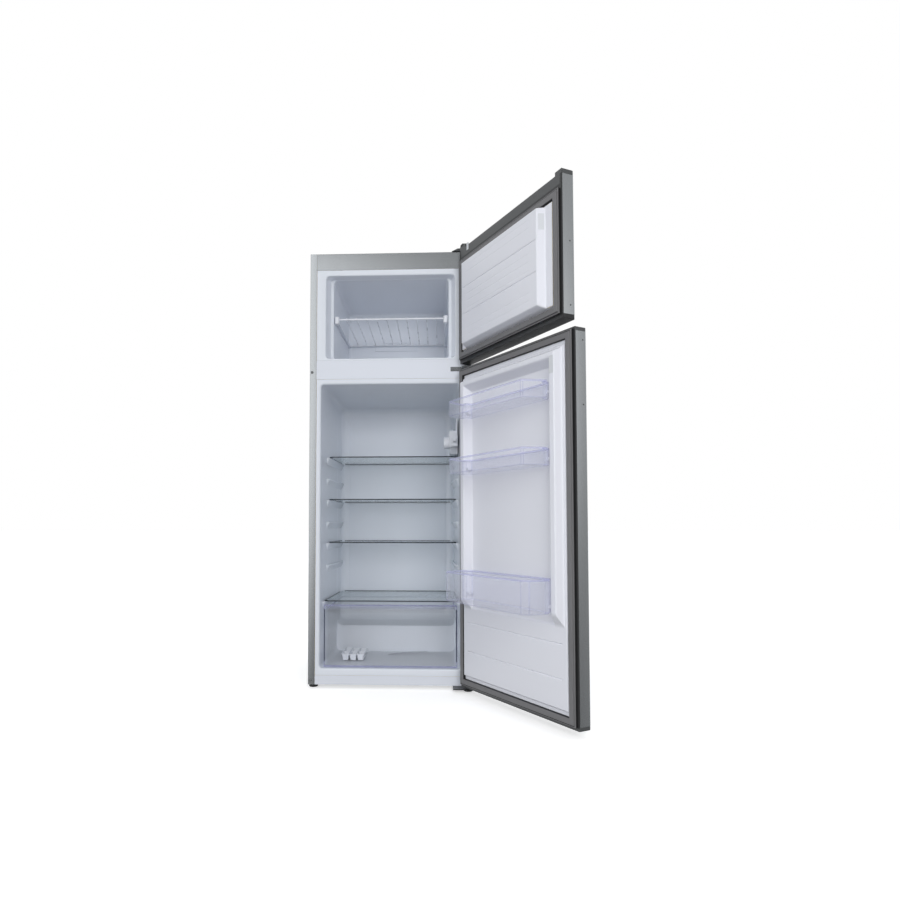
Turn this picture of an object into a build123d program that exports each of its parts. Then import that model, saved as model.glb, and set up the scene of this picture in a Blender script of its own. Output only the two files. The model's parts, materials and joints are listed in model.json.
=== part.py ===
"""Two-door refrigerator, freezer on top, standing with both doors open.

Millimetres.  X to the right, Y to the back, Z up.  The origin is on the floor, under the
middle of the cabinet's front face, so the cabinet is behind y = 0 and the doors in front.
The doors are modelled closed, then swung open about their hinge line.
"""
from build123d import *
import os

os.makedirs("parts", exist_ok=True)

# ------------------------------------------------------------------ driving dimensions
width = 540.0
cabinet_height = 1436.0
cabinet_depth = 500.0
foot_height = 12.0
sheet = 0.8            # painted steel of the cabinet and the door skins
rail_sheet = 1.2       # cross rails of the cabinet front
side_flange = 23.0     # front flange of each side panel
back_flange = 12.0
set_back = 0.6         # the liners' front frames lie this far behind y = 0
liner_wall = 2.5

door_gap = 11.7        # cabinet front to door, filled by the gasket
door_thickness = 39.3
hinge_inset = 14.0     # hinge line in from the door's side edge
hinge_reach = 19.3     # hinge line in from the door's inner face
freezer_door_open = 117.0
fridge_door_open = 121.0

pin_radius = 4.0
pin_bore_radius = 4.06

freezer_door_low, freezer_door_high = 1060.2, 1440.3
fridge_door_low, fridge_door_high = 18.5, 1043.0
lobe_height = 9.9      # raised ends of the freezer door's top cap
free_lobe, hinge_lobe = 28.0, 36.0         # their lengths
cap_end = 44.0         # solid end of each door cap, around the hinge pin

shelf_levels = (769.0, 621.0, 471.5)
cover_level = 277.0
ledge_levels = (769.0, 695.0, 621.0, 546.0, 471.5, 397.0)
shelf_glass = 4.0

wire_shelf_level = 1238.0
wire_shelf_front, wire_shelf_back = 50.0, 386.0

# ------------------------------------------------------------------ worked out from them
half = width / 2
top = foot_height + cabinet_height
frame_back = set_back + liner_wall
front_frame_half = half - side_flange
hinge_x = half - hinge_inset
hinge_y = -door_gap - hinge_reach
door_in = -door_gap
door_out = -door_gap - door_thickness
hinge_line = Axis((hinge_x, hinge_y, 0), (0, 0, 1))

# tubs: y, half width, low z, high z, corner radius
freezer_recess = (
    (set_back, 216.0, 1091.0, 1372.0, 12.0),
    (37.0, 206.0, 1095.0, 1371.0, 10.0),
)
freezer_cavity = (
    (37.0, 195.5, 1097.0, 1370.0, 12.0),
    (400.0, 193.0, 1099.0, 1369.0, 14.0),
)
fridge_cavity = (
    (set_back, 231.7, 64.5, 1003.5, 10.0),
    (400.0, 217.3, 67.0, 985.0, 26.0),
)
wall_taper = (231.7 - 217.3) / 400.0


def fridge_wall(y):
    """Half width between the fridge liner's side walls at depth y."""
    return 231.7 - wall_taper * y


# ------------------------------------------------------------------ helpers
def write(piece, name, swing=0.0):
    """Swing a door piece open, name it and write its STEP file."""
    if swing:
        piece.part = piece.part.rotate(hinge_line, swing)
    piece.part.label = name
    export_step(piece.part, f"parts/{name}.step")


def block(x, y, z, mode=Mode.ADD):
    """A box between the two limits given along each axis."""
    middle = ((x[0] + x[1]) / 2, (y[0] + y[1]) / 2, (z[0] + z[1]) / 2)
    with Locations(middle):
        Box(abs(x[1] - x[0]), abs(y[1] - y[0]), abs(z[1] - z[0]), mode=mode)


def rod(start, end, radius, mode=Mode.ADD):
    """A round bar from start to end."""
    run = Vector(*end) - Vector(*start)
    ends = (Align.CENTER, Align.CENTER, Align.MIN)
    with Locations(Location(Plane(origin=start, z_dir=run))):
        Cylinder(radius, run.length, align=ends, mode=mode)


def upright(y):
    """An XZ sketch plane at depth y, seen from the front."""
    return Plane.XZ.offset(-y)


def tub(sections, grow=0.0, mode=Mode.ADD):
    """A loft through rounded rectangles, each grown outwards by the same amount."""
    profiles = []
    for y, half_width, low, high, radius in sections:
        with BuildSketch(upright(y)) as profile:
            with Locations((0, (low + high) / 2)):
                size = (2 * (half_width + grow), high - low + 2 * grow)
                RectangleRounded(*size, max(radius + grow, 1.0))
        profiles.append(profile.sketch)
    loft(profiles, ruled=True, mode=mode)


def deeper(section, extra):
    """The same tub section moved towards the back."""
    return (section[0] + extra,) + tuple(section[1:])


def side_profile(points, x, mode=Mode.ADD):
    """A prism along X with the YZ outline given by points."""
    with BuildSketch(Plane.YZ.offset(x[0])) as outline:
        with BuildLine():
            Polyline(*points, close=True)
        make_face()
    extrude(outline.sketch, amount=x[1] - x[0], mode=mode)


def plan_profile(points, z, mode=Mode.ADD):
    """A prism along Z with the XY outline given by points."""
    with BuildSketch(Plane.XY.offset(z[0])) as outline:
        with BuildLine():
            Polyline(*points, close=True)
        make_face()
    extrude(outline.sketch, amount=z[1] - z[0], mode=mode)


# ------------------------------------------------------------------ screws and their holes
screw_radius, screw_head_radius, screw_head_height = 2.0, 4.2, 2.4
screw_length = 9.0
top_screws = [(230.0, 30.0), (250.0, 30.0), (240.0, 58.0)]
middle_screws = [(209.0, 1051.0), (226.0, 1051.0)]
bottom_screws = [(216.0, 20.0), (246.0, 40.0)]
plate = 3.0            # hinge bracket steel
plug_radius = 3.5
plug_places = [(-262.0, 1045.0), (-262.0, 24.0)]


def screw_shanks(grow, mode):
    """Shank solids of every hinge screw, used for the screws and for their holes."""
    r = screw_radius + grow
    for x, y in top_screws:
        rod((x, y, top + plate - screw_length), (x, y, top + plate), r, mode)
    for x, z in middle_screws:
        rod((x, -plate, z), (x, screw_length - plate, z), r, mode)
    for x, y in bottom_screws:
        low = foot_height - plate
        rod((x, y, low), (x, y, low + screw_length), r, mode)


# ------------------------------------------------------------------ cabinet shell
def side_panel(side):
    """One side sheet with its front flange and back flange."""
    with BuildPart() as panel:
        outer = side * half
        z = (foot_height, top)
        block((outer, outer - side * sheet), (0, cabinet_depth), z)
        block((outer, outer - side * side_flange), (0, sheet), z)
        block((outer, outer - side * back_flange), (cabinet_depth - sheet, cabinet_depth), z)
        if side < 0:
            for x, height in plug_places:
                rod((x, -1, height), (x, 2, height), plug_radius, Mode.SUBTRACT)
    return panel


left_side_panel = side_panel(-1)
write(left_side_panel, "left_side_panel")
right_side_panel = side_panel(1)
write(right_side_panel, "right_side_panel")

inner_half = half - sheet
inner_depth = cabinet_depth - sheet

# one folded sheet: the top, and the header that hangs from its front edge
header_low = 1391.7
with BuildPart() as top_panel:
    block((-inner_half, inner_half), (rail_sheet, inner_depth), (top - sheet, top))
    block((-front_frame_half, front_frame_half), (0, rail_sheet), (header_low, top))
    screw_shanks(0.2, Mode.SUBTRACT)
write(top_panel, "top_panel")

divider_low, divider_high, bottom_rail_high = 1021.2, 1084.4, 41.9
slot_mark = (-242.0, -188.0, 1046.5, 1049.5)
with BuildPart() as divider_rail:
    block((-front_frame_half, front_frame_half), (0, rail_sheet), (divider_low, divider_high))
    x0, x1, z0, z1 = slot_mark
    block((x0, x1), (-1, 0.5), (z0, z1), Mode.SUBTRACT)
    screw_shanks(0.2, Mode.SUBTRACT)
write(divider_rail, "divider_rail")

with BuildPart() as bottom_rail:
    block((-front_frame_half, front_frame_half), (0, rail_sheet),
          (foot_height, bottom_rail_high))
write(bottom_rail, "bottom_rail")

bay_front, bay_low_ceiling, bay_back_ceiling = 340.0, 128.0, 236.0
bay_bends = [
    (rail_sheet, foot_height),
    (bay_front, foot_height),
    (bay_front, bay_low_ceiling),
    (415.0, 140.0),
    (440.0, bay_back_ceiling),
    (inner_depth, bay_back_ceiling),
]
drain_place = (0.0, 382.0)
drain_radius = 8.0
foot_radius, foot_stem_radius, pad_height = 15.0, 4.0, 8.6
left_foot = (-255.0, 28.0)
right_foot = (255.0, -14.0)

with BuildPart() as base_pan:
    with BuildSketch(Plane.YZ.offset(-inner_half)):
        with BuildLine():
            Polyline(*bay_bends)
            offset(amount=sheet, side=Side.LEFT)
        make_face()
    extrude(amount=2 * inner_half)
    screw_shanks(0.2, Mode.SUBTRACT)
    rod((*drain_place, 100), (*drain_place, 200), drain_radius + 0.3, Mode.SUBTRACT)
    rod((*left_foot, 0), (*left_foot, 40), foot_stem_radius + 0.06, Mode.SUBTRACT)
write(base_pan, "base_pan")

with BuildPart() as back_panel:
    inside_flanges = half - back_flange
    z = (bay_back_ceiling + sheet, top)
    block((-inside_flanges, inside_flanges), (inner_depth, cabinet_depth), z)
write(back_panel, "back_panel")

# YZ outlines: the hump over the machine bay, its hollow side, the foam under it, and the bay
hump = [(300.0, 50.0), (308.0, 158.0), (410.0, 176.0), (410.0, 50.0)]
hump_inside = [(302.6, 40.0), (310.4, 155.5), (410.0, 173.4), (410.0, 40.0)]
hump_foam = [
    (302.8, 12.9), (310.6, 155.3), (405.0, 172.3), (405.0, 139.6), (339.0, 129.2), (339.0, 12.9),
]
bay_clear = [
    (339.0, 0.0), (339.0, 129.2), (414.2, 141.2), (439.2, 237.2), (500.0, 237.2), (500.0, 0.0),
]

with BuildPart() as cabinet_foam:
    z = (foot_height + sheet, top - sheet)
    block((-inner_half, inner_half), (frame_back, inner_depth), z)
    side_profile(bay_clear, (-half, half), Mode.SUBTRACT)
    for mouth, end in (fridge_cavity, freezer_recess, freezer_cavity):
        tub([mouth, end], liner_wall, Mode.SUBTRACT)
        tub([end, deeper(end, liner_wall)], liner_wall, Mode.SUBTRACT)
    side_profile(hump_foam, (-inner_half, inner_half))
    screw_shanks(0.2, Mode.SUBTRACT)
    for x, z in plug_places:
        rod((x, 0, z), (x, 12, z), plug_radius, Mode.SUBTRACT)
    rod((*drain_place, 100), (*drain_place, 200), drain_radius + 0.3, Mode.SUBTRACT)
    rod((*left_foot, 0), (*left_foot, 40), foot_stem_radius + 0.3, Mode.SUBTRACT)
write(cabinet_foam, "cabinet_foam")

# ------------------------------------------------------------------ liners
freezer_frame = (-246.5, 246.5, 1084.9, 1391.2)
fridge_frame = (-246.5, 246.5, 42.4, 1020.7)


def liner_frame(limits):
    """The flat front frame of a liner."""
    x0, x1, z0, z1 = limits
    block((x0, x1), (set_back, frame_back), (z0, z1))


# ribs that carry the wire shelf
rib_top, rib_thick, rib_inner, rib_run = wire_shelf_level - 2.2, 4.0, 184.5, (64.0, 392.0)
with BuildPart() as freezer_liner:
    liner_frame(freezer_frame)
    tub(freezer_recess, liner_wall)
    tub([freezer_recess[1], deeper(freezer_recess[1], liner_wall)], liner_wall)
    tub(freezer_cavity, liner_wall)
    tub([freezer_cavity[1], deeper(freezer_cavity[1], liner_wall)], liner_wall)
    tub(freezer_recess, 0.0, Mode.SUBTRACT)
    tub(freezer_cavity, 0.0, Mode.SUBTRACT)
    for side in (-1, 1):
        block((side * 195.0, side * rib_inner), rib_run, (rib_top - rib_thick, rib_top))
write(freezer_liner, "freezer_liner")

with BuildPart() as fridge_space:
    tub(fridge_cavity)
    side_profile(hump, (-half, half), Mode.SUBTRACT)

with BuildPart() as fridge_liner:
    liner_frame(fridge_frame)
    tub(fridge_cavity, liner_wall)
    tub([fridge_cavity[1], deeper(fridge_cavity[1], liner_wall)], liner_wall)
    side_profile(hump_inside, (-half, half), Mode.SUBTRACT)
    add(fridge_space.part, mode=Mode.SUBTRACT)
    rod((*drain_place, 160), (*drain_place, 200), drain_radius - 2, Mode.SUBTRACT)
write(fridge_liner, "fridge_liner")

# shelf ledges: prisms along each side wall, a hair clear of the sheet that carries them
ledge_reach, ledge_drop, ledge_lip, ledge_play = 9.0, 26.0, 4.8, 0.05
ledge_front, cover_ledge_front, ledge_back = 108.0, 46.0, 398.0
shelf_play = 0.2
with BuildPart() as shelf_ledges:
    for level in ledge_levels + (cover_level,):
        front = cover_ledge_front if level == cover_level else ledge_front
        wall = fridge_wall(ledge_back) - ledge_play
        ledge_top = level - shelf_play
        for side in (-1, 1):
            with BuildSketch(upright(ledge_back)) as ledge:
                with BuildLine():
                    Polyline(
                        (side * (wall - ledge_reach), ledge_top),
                        (side * (wall - ledge_reach), ledge_top - ledge_lip),
                        (side * wall, level - ledge_drop),
                        (side * wall, ledge_top),
                        close=True,
                    )
                make_face()
            along = (side * wall_taper, -1, 0)
            extrude(ledge.sketch, amount=ledge_back - front, dir=along)
write(shelf_ledges, "shelf_ledges")

with BuildPart() as drain_tube:
    rod((*drain_place, 121), (*drain_place, 166.4), drain_radius)
    rod((*drain_place, 110), (*drain_place, 180), drain_radius - 2, Mode.SUBTRACT)
write(drain_tube, "drain_tube")

# ------------------------------------------------------------------ hinges
pin_engagement = 9.0   # how far each pin reaches into its door
arm_half = 12.0        # the arms run this far in from the hinge line, and as far past it

with BuildPart() as top_hinge:
    # a screwed plate on the cabinet's top, with an arm one step above it
    arm = (top + plate, top + 2 * plate)
    block((219, 262), (8, 70), (top, top + plate))
    block((hinge_x - 28, hinge_x + 10), (2, 8), (top, top + 2 * plate))
    block((hinge_x - arm_half, hinge_x + 10), (hinge_y - 7, 8), arm)
    pin_low = freezer_door_high + lobe_height - pin_engagement
    rod((hinge_x, hinge_y, pin_low), (hinge_x, hinge_y, arm[1]), pin_radius)
    screw_shanks(0.2, Mode.SUBTRACT)
write(top_hinge, "top_hinge")

# XZ outlines of the cover: over the screws, and its narrower nose over the hinge arm
cover_top, cover_outer, cover_base = top + 10.0, 268.0, top + 0.2
cover_wall, cover_shoulder = 2.0, 226.0
dome_outline = [(206.0, cover_base), (cover_shoulder, cover_top), (cover_outer, cover_top),
                (cover_outer, cover_base)]
nose_outline = [(234.0, top + plate), (240.0, cover_top), (cover_outer, cover_top),
                (cover_outer, top + plate)]
dome_hollow = [(209.0, top - 1), (cover_shoulder, cover_top - cover_wall),
               (cover_outer - 1.7, cover_top - cover_wall), (cover_outer - 1.7, top - 1)]
nose_hollow = [(237.0, top - 1), (241.0, cover_top - cover_wall),
               (cover_outer - 1.7, cover_top - cover_wall), (cover_outer - 1.7, top - 1)]
cover_back, cover_split, cover_front = 76.0, -4.0, hinge_y - 11.0


def cover_prism(outline, back, front, mode=Mode.ADD):
    """One stretch of the hinge cover, from its back to its front."""
    with BuildSketch(upright(back)) as section:
        with BuildLine():
            Polyline(*outline, close=True)
        make_face()
    extrude(section.sketch, amount=back - front, mode=mode)


with BuildPart() as top_hinge_cover:
    cover_prism(dome_outline, cover_back, cover_split)
    cover_prism(nose_outline, cover_split, cover_front)
    cover_prism(dome_hollow, cover_back - cover_wall, cover_split + 3, Mode.SUBTRACT)
    cover_prism(nose_hollow, cover_split + 4, cover_front + cover_wall, Mode.SUBTRACT)
write(top_hinge_cover, "top_hinge_cover")

with BuildPart() as middle_hinge:
    # a plate on the divider, with an arm between the doors and a pin both ways
    arm = (1049.5, 1052.5)
    block((201, 267), (-plate, 0), (1044, 1058))
    block((236, 268), (hinge_y - 11, -plate), arm)
    rod((hinge_x, hinge_y, fridge_door_high - pin_engagement),
        (hinge_x, hinge_y, freezer_door_low + pin_engagement + 1.3), pin_radius)
    screw_shanks(0.2, Mode.SUBTRACT)
write(middle_hinge, "middle_hinge")

with BuildPart() as bottom_hinge:
    block((205, 268), (hinge_y - 13, 70), (foot_height - plate, foot_height))
    pin_top = fridge_door_low + pin_engagement
    rod((hinge_x, hinge_y, foot_height - plate), (hinge_x, hinge_y, pin_top), pin_radius)
    screw_shanks(0.2, Mode.SUBTRACT)
    rod((*right_foot, 0), (*right_foot, 20), foot_stem_radius + 0.06, Mode.SUBTRACT)
write(bottom_hinge, "bottom_hinge")

with BuildPart() as hinge_screws:
    screw_shanks(0.0, Mode.ADD)
    high = top + plate
    for x, y in top_screws:
        rod((x, y, high), (x, y, high + screw_head_height), screw_head_radius)
    for x, z in middle_screws:
        rod((x, -plate, z), (x, -plate - screw_head_height, z), screw_head_radius)
    low = foot_height - plate
    for x, y in bottom_screws:
        rod((x, y, low), (x, y, low - screw_head_height), screw_head_radius)
write(hinge_screws, "hinge_screws")

with BuildPart() as hole_plugs:
    for x, z in plug_places:
        rod((x, -0.05, z), (x, 8, z), plug_radius - 0.1)
        rod((x, -1.2, z), (x, -0.05, z), plug_radius + 1.2)
write(hole_plugs, "hole_plugs")

# ------------------------------------------------------------------ feet and rollers
def levelling_foot(place, stem_top):
    """A black screw foot: a ribbed pad with its threaded stem."""
    x, y = place
    with BuildPart() as foot:
        rod((x, y, 0), (x, y, pad_height), foot_radius)
        rod((x, y, pad_height - 0.6), (x, y, stem_top), foot_stem_radius)
        edges = foot.edges().filter_by(GeomType.CIRCLE).sort_by(Axis.Z)
        chamfer(edges[0], 1.5)
    return foot


front_foot_left = levelling_foot(left_foot, 30.0)
write(front_foot_left, "front_foot_left")
front_foot_right = levelling_foot(right_foot, 15.5)
write(front_foot_right, "front_foot_right")

roller_radius, roller_half_width, roller_y = 14.0, 8.0, 474.0
roller_x = 214.0
axle_radius = 3.0
fork_half, fork_sheet = 13.0, 2.0          # the sheet forks that carry the rollers
base_low, base_high = 29.0, 31.0
base_run = (344.0, 496.0)
mount_x = (-112.0, 28.0)
mount_y = (362.0, 470.0)
grommet_radius, grommet_bolt = 8.0, 3.0

with BuildPart() as base_plate:
    block((-inner_half, inner_half), base_run, (base_low, base_high))
    for side in (-1, 1):
        x = side * roller_x
        near, far = x - side * fork_half, x + side * fork_half
        for edge, step in ((near, side * fork_sheet), (far, -side * fork_sheet)):
            block((edge, edge + step), (roller_y - 9, roller_y + 9), (8, base_low))
        rod((min(near, far), roller_y, roller_radius), (max(near, far), roller_y, roller_radius),
            axle_radius)
    for x in mount_x:
        for y in mount_y:
            rod((x, y, 20), (x, y, 40), grommet_bolt + 0.2, Mode.SUBTRACT)
write(base_plate, "base_plate")

with BuildPart() as rear_rollers:
    for side in (-1, 1):
        x = side * roller_x
        start = (x - roller_half_width, roller_y, roller_radius)
        end = (x + roller_half_width, roller_y, roller_radius)
        rod(start, end, roller_radius)
        rod(start, end, axle_radius + 0.06, Mode.SUBTRACT)
write(rear_rollers, "rear_rollers")

# ------------------------------------------------------------------ cooling circuit
compressor_x, compressor_y = -42.0, 416.0
pot_half_x, pot_half_y = 72.0, 56.0
pot_low, pot_high = 42.0, 118.0
leg_sheet, leg_half = 3.0, 9.0
with BuildPart() as compressor:
    with BuildSketch(Plane.XY.offset(pot_low)):
        with Locations((compressor_x, compressor_y)):
            Ellipse(pot_half_x, pot_half_y)
    extrude(amount=pot_high - pot_low)
    chamfer(compressor.edges().group_by(Axis.Z)[-1], 9.0)
    chamfer(compressor.edges().group_by(Axis.Z)[0], 6.0)
    for y in mount_y:
        block((mount_x[0] - 12, mount_x[1] + 12), (y - leg_half, y + leg_half),
              (pot_low - leg_sheet, pot_low))
    block((-110, 26), (375, 457), (pot_low - leg_sheet, pot_low))
    for x in mount_x:
        for y in mount_y:
            rod((x, y, 30), (x, y, 60), grommet_bolt + 0.2, Mode.SUBTRACT)
write(compressor, "compressor")

with BuildPart() as compressor_mounts:
    for x in mount_x:
        for y in mount_y:
            under_leg = pot_low - leg_sheet - 0.05
            rod((x, y, base_high + 0.05), (x, y, under_leg), grommet_radius)
            rod((x, y, base_high - 3), (x, y, pot_low + 3), grommet_bolt)
            rod((x, y, pot_low + 0.05), (x, y, pot_low + 3), grommet_radius - 2)
write(compressor_mounts, "compressor_mounts")

relay_back = 440.0
gland_x, gland_z, gland_length = 53.0, 74.0, 17.8
gland_radius, lead_radius = 8.0, 3.6
with BuildPart() as relay_cover:
    block((34, 72), (390, relay_back), (48, 100))
    fillet(relay_cover.edges().filter_by(Axis.Z), 5.0)
write(relay_cover, "relay_cover")

with BuildPart() as cord_gland:
    start = (gland_x, relay_back + 0.2, gland_z)
    end = (gland_x, relay_back + 0.2 + gland_length, gland_z)
    rod(start, end, gland_radius)
    rod(start, end, lead_radius, Mode.SUBTRACT)
write(cord_gland, "cord_gland")

melt_x, melt_y, melt_wall, melt_depth = (-100.0, 20.0), (368.0, 412.0), 1.8, 8.0
with BuildPart() as evaporation_tray:
    block(melt_x, melt_y, (pot_high + 0.1, pot_high + melt_depth))
    block((melt_x[0] + melt_wall, melt_x[1] - melt_wall),
          (melt_y[0] + melt_wall, melt_y[1] - melt_wall),
          (pot_high + melt_wall, pot_high + melt_depth + 1), Mode.SUBTRACT)
write(evaporation_tray, "evaporation_tray")

tube_radius, wire_radius = 2.4, 0.8
rows, row_low, row_high, condenser_half = 17, 330.0, 1300.0, 205.0
condenser_y = cabinet_depth + 20.0
row_step = (row_high - row_low) / (rows - 1)
bend = row_step / 2 - 0.01

with BuildPart() as condenser_tube:
    # the serpentine, and the discharge pipe that reaches it from the compressor
    with BuildLine():
        corners = []
        for row in range(rows):
            ends = (-condenser_half, condenser_half)
            if row % 2:
                ends = ends[::-1]
            corners += [(x, condenser_y, row_low + row * row_step) for x in ends]
        FilletPolyline(*corners, radius=bend)
    with BuildSketch(Plane(origin=corners[0], z_dir=(1, 0, 0))):
        Circle(tube_radius)
    sweep()
    leaving = (-100.0, 452.0, 92.0)
    with BuildLine() as route:
        FilletPolyline(
            leaving,
            (-150.0, 452.0, 92.0),
            (-232.0, 486.0, 150.0),
            (-232.0, condenser_y, 250.0),
            (-232.0, condenser_y, row_low),
            (-condenser_half - 0.2, condenser_y, row_low),
            radius=12.0,
        )
    with BuildSketch(Plane(origin=leaving, z_dir=(-1, 0, 0))) as pipe_end:
        Circle(tube_radius)
    sweep(pipe_end.sketch, path=route.wires()[0])
write(condenser_tube, "condenser_tube")

wires_across = 27
with BuildPart() as condenser_wires:
    reach = tube_radius + wire_radius + 0.05
    pitch = 2 * (condenser_half - 20) / (wires_across - 1)
    for side in (-1, 1):
        for index in range(wires_across):
            x = index * pitch - (condenser_half - 20)
            y = condenser_y + side * reach
            rod((x, y, row_low - 12), (x, y, row_high + 12), wire_radius)
write(condenser_wires, "condenser_wires")

bracket_x, bracket_half_width, bracket_half_height = 178.0, 5.5, 8.0
with BuildPart() as condenser_brackets:
    for side in (-1, 1):
        for row in (3, rows - 4):
            z = row_low + row * row_step
            y = (cabinet_depth, condenser_y - tube_radius - 0.05)
            x = side * bracket_x
            block((x - bracket_half_width, x + bracket_half_width), y,
                  (z - bracket_half_height, z + bracket_half_height))
write(condenser_brackets, "condenser_brackets")

# ------------------------------------------------------------------ inside the refrigerator
knob_y, knob_z, knob_radius = 106.0, 818.0, 21.0
knob_shaft, knob_bore = 4.24, 4.3
knob_tip, housing_face, housing_back = 179.0, 197.0, 225.0
plate_face = 222.0             # the thin plate that carries the housing on the wall
housing_run, housing_tall = (78.0, 186.0), (799.0, 858.0)
switch_face, switch_x, switch_z, switch_half = 206.0, 215.0, 818.0, 4.8

with BuildPart() as thermostat_housing:
    block((housing_face, housing_back), housing_run, housing_tall)
    fillet(thermostat_housing.edges().filter_by(Axis.X), 7.0)
    chamfer(thermostat_housing.faces().sort_by(Axis.X)[0].edges(), 3.0)
    block((plate_face, housing_back), (62, housing_run[1]), (775, 896))
    block((switch_face, housing_back), (40, 62), (800, 836))
    play = switch_half + 1.2
    block((switch_x - play, switch_x + play), (38, 52), (switch_z - play, switch_z + play),
          Mode.SUBTRACT)
    rod((housing_face - 7, knob_y, knob_z), (switch_x, knob_y, knob_z), knob_bore, Mode.SUBTRACT)
write(thermostat_housing, "thermostat_housing")

with BuildPart() as thermostat_knob:
    rod((knob_tip, knob_y, knob_z), (housing_face - 0.5, knob_y, knob_z), knob_radius)
    rims = thermostat_knob.edges().filter_by(GeomType.CIRCLE).sort_by(Axis.X)
    fillet(rims[0], 3.0)
    rod((housing_face - 1, knob_y, knob_z), (switch_x - 2, knob_y, knob_z), knob_shaft)
    low, high = knob_z + 8, knob_z + knob_radius - 1.5
    block((knob_tip - 1, knob_tip + 0.8), (knob_y - 1.1, knob_y + 1.1), (low, high), Mode.SUBTRACT)
write(thermostat_knob, "thermostat_knob")

lamp_wall, lamp_face = 2.0, 199.5
lamp_run, lamp_tall = (80.0, 184.0), (776.0, 798.7)
with BuildPart() as lamp_cover:
    block((lamp_face, plate_face - 0.3), lamp_run, lamp_tall)
    fillet(lamp_cover.edges().filter_by(Axis.Y).sort_by(Axis.X)[:2], 6.0)
    block((lamp_face + lamp_wall, plate_face + 1),
          (lamp_run[0] + lamp_wall, lamp_run[1] - lamp_wall),
          (lamp_tall[0] + lamp_wall, lamp_tall[1] + 1), Mode.SUBTRACT)
write(lamp_cover, "lamp_cover")

bulb_x, bulb_z, bulb_radius, bulb_base_radius = 211.0, 788.5, 8.0, 6.0
with BuildPart() as lamp_bulb:
    rod((bulb_x, 110, bulb_z), (bulb_x, 132, bulb_z), bulb_radius)
    fillet(lamp_bulb.edges().filter_by(GeomType.CIRCLE).sort_by(Axis.Y)[0], 7.0)
    rod((bulb_x, 132, bulb_z), (bulb_x, 150, bulb_z), bulb_base_radius)
write(lamp_bulb, "lamp_bulb")

switch_tip, nose_length, nose_half = 24.8, 3.2, 3.5
with BuildPart() as light_switch:
    block((switch_x - switch_half, switch_x + switch_half), (switch_tip + nose_length, 46),
          (switch_z - switch_half, switch_z + switch_half))
    block((switch_x - nose_half, switch_x + nose_half), (switch_tip, switch_tip + nose_length),
          (switch_z - nose_half, switch_z + nose_half))
write(light_switch, "light_switch")

vent_back = 399.9
vent_slots, slot_x, slot_pitch, slot_half = 3, -33.0, 29.0, 12.0
with BuildPart() as freezer_vent:
    block((-50, 41), (393, vent_back), (1243, 1262))
    block((-88, 82), (396, vent_back), (1219, 1243))
    for index in range(vent_slots):
        x = slot_x + index * slot_pitch
        block((x - slot_half, x + slot_half), (390, 396), (1247, 1251), Mode.SUBTRACT)
write(freezer_vent, "freezer_vent")

# glass shelves: clipped front corners, sides tapering with the liner
glass_gap, corner_clip = 5.8, 13.0


def glass_plan(front, back, gap):
    """Plan outline of a glass shelf between the tapering side walls."""
    wide = fridge_wall(front + corner_clip) - gap
    narrow = fridge_wall(back) - gap + 2.8
    return [
        (-wide + corner_clip, front),
        (wide - corner_clip, front),
        (wide, front + corner_clip),
        (narrow, back),
        (-narrow, back),
        (-wide, front + corner_clip),
    ]


for number, level in enumerate(shelf_levels, start=1):
    with BuildPart() as shelf:
        plan_profile(glass_plan(109.5, 396.0, glass_gap), (level, level + shelf_glass))
    write(shelf, f"glass_shelf_{number}")

with BuildPart() as crisper_cover:
    plan_profile(glass_plan(46.0, 396.0, 4.5), (cover_level, cover_level + shelf_glass))
write(crisper_cover, "crisper_cover")

# crisper drawer: a clear stepped box that clears the hump at the back
drawer_wall = 2.5
drawer_outside = [(24.0, 66.5), (290.0, 66.5), (290.0, 182.0), (374.0, 182.0),
                  (374.0, 262.0), (24.0, 262.0)]
drawer_inside = [(26.5, 69.0), (287.5, 69.0), (287.5, 184.5), (371.5, 184.5),
                 (371.5, 270.0), (26.5, 270.0)]
drawer_half, drawer_front_half, bottom_bevel = 211.0, 221.5, 12.0
with BuildPart() as drawer_room:
    side_profile(drawer_inside, (drawer_wall - drawer_half, drawer_half - drawer_wall))
    chamfer(drawer_room.edges().filter_by(Axis.X, reverse=True).group_by(Axis.Z)[0],
            bottom_bevel - 1)

with BuildPart() as crisper_drawer:
    side_profile(drawer_outside, (-drawer_half, drawer_half))
    chamfer(crisper_drawer.edges().filter_by(Axis.X, reverse=True).group_by(Axis.Z)[0],
            bottom_bevel)
    add(drawer_room.part, mode=Mode.SUBTRACT)
    across = (-drawer_front_half, drawer_front_half)
    block(across, (20, 24), (66, 270))
    block(across, (9, 20), (266, 270))
    block(across, (14, 20), (66, 70))
    for side in (-1, 1):
        block((side * drawer_half, side * (drawer_half + 3)), (24, 374), (255, 258))
write(crisper_drawer, "crisper_drawer")

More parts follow.
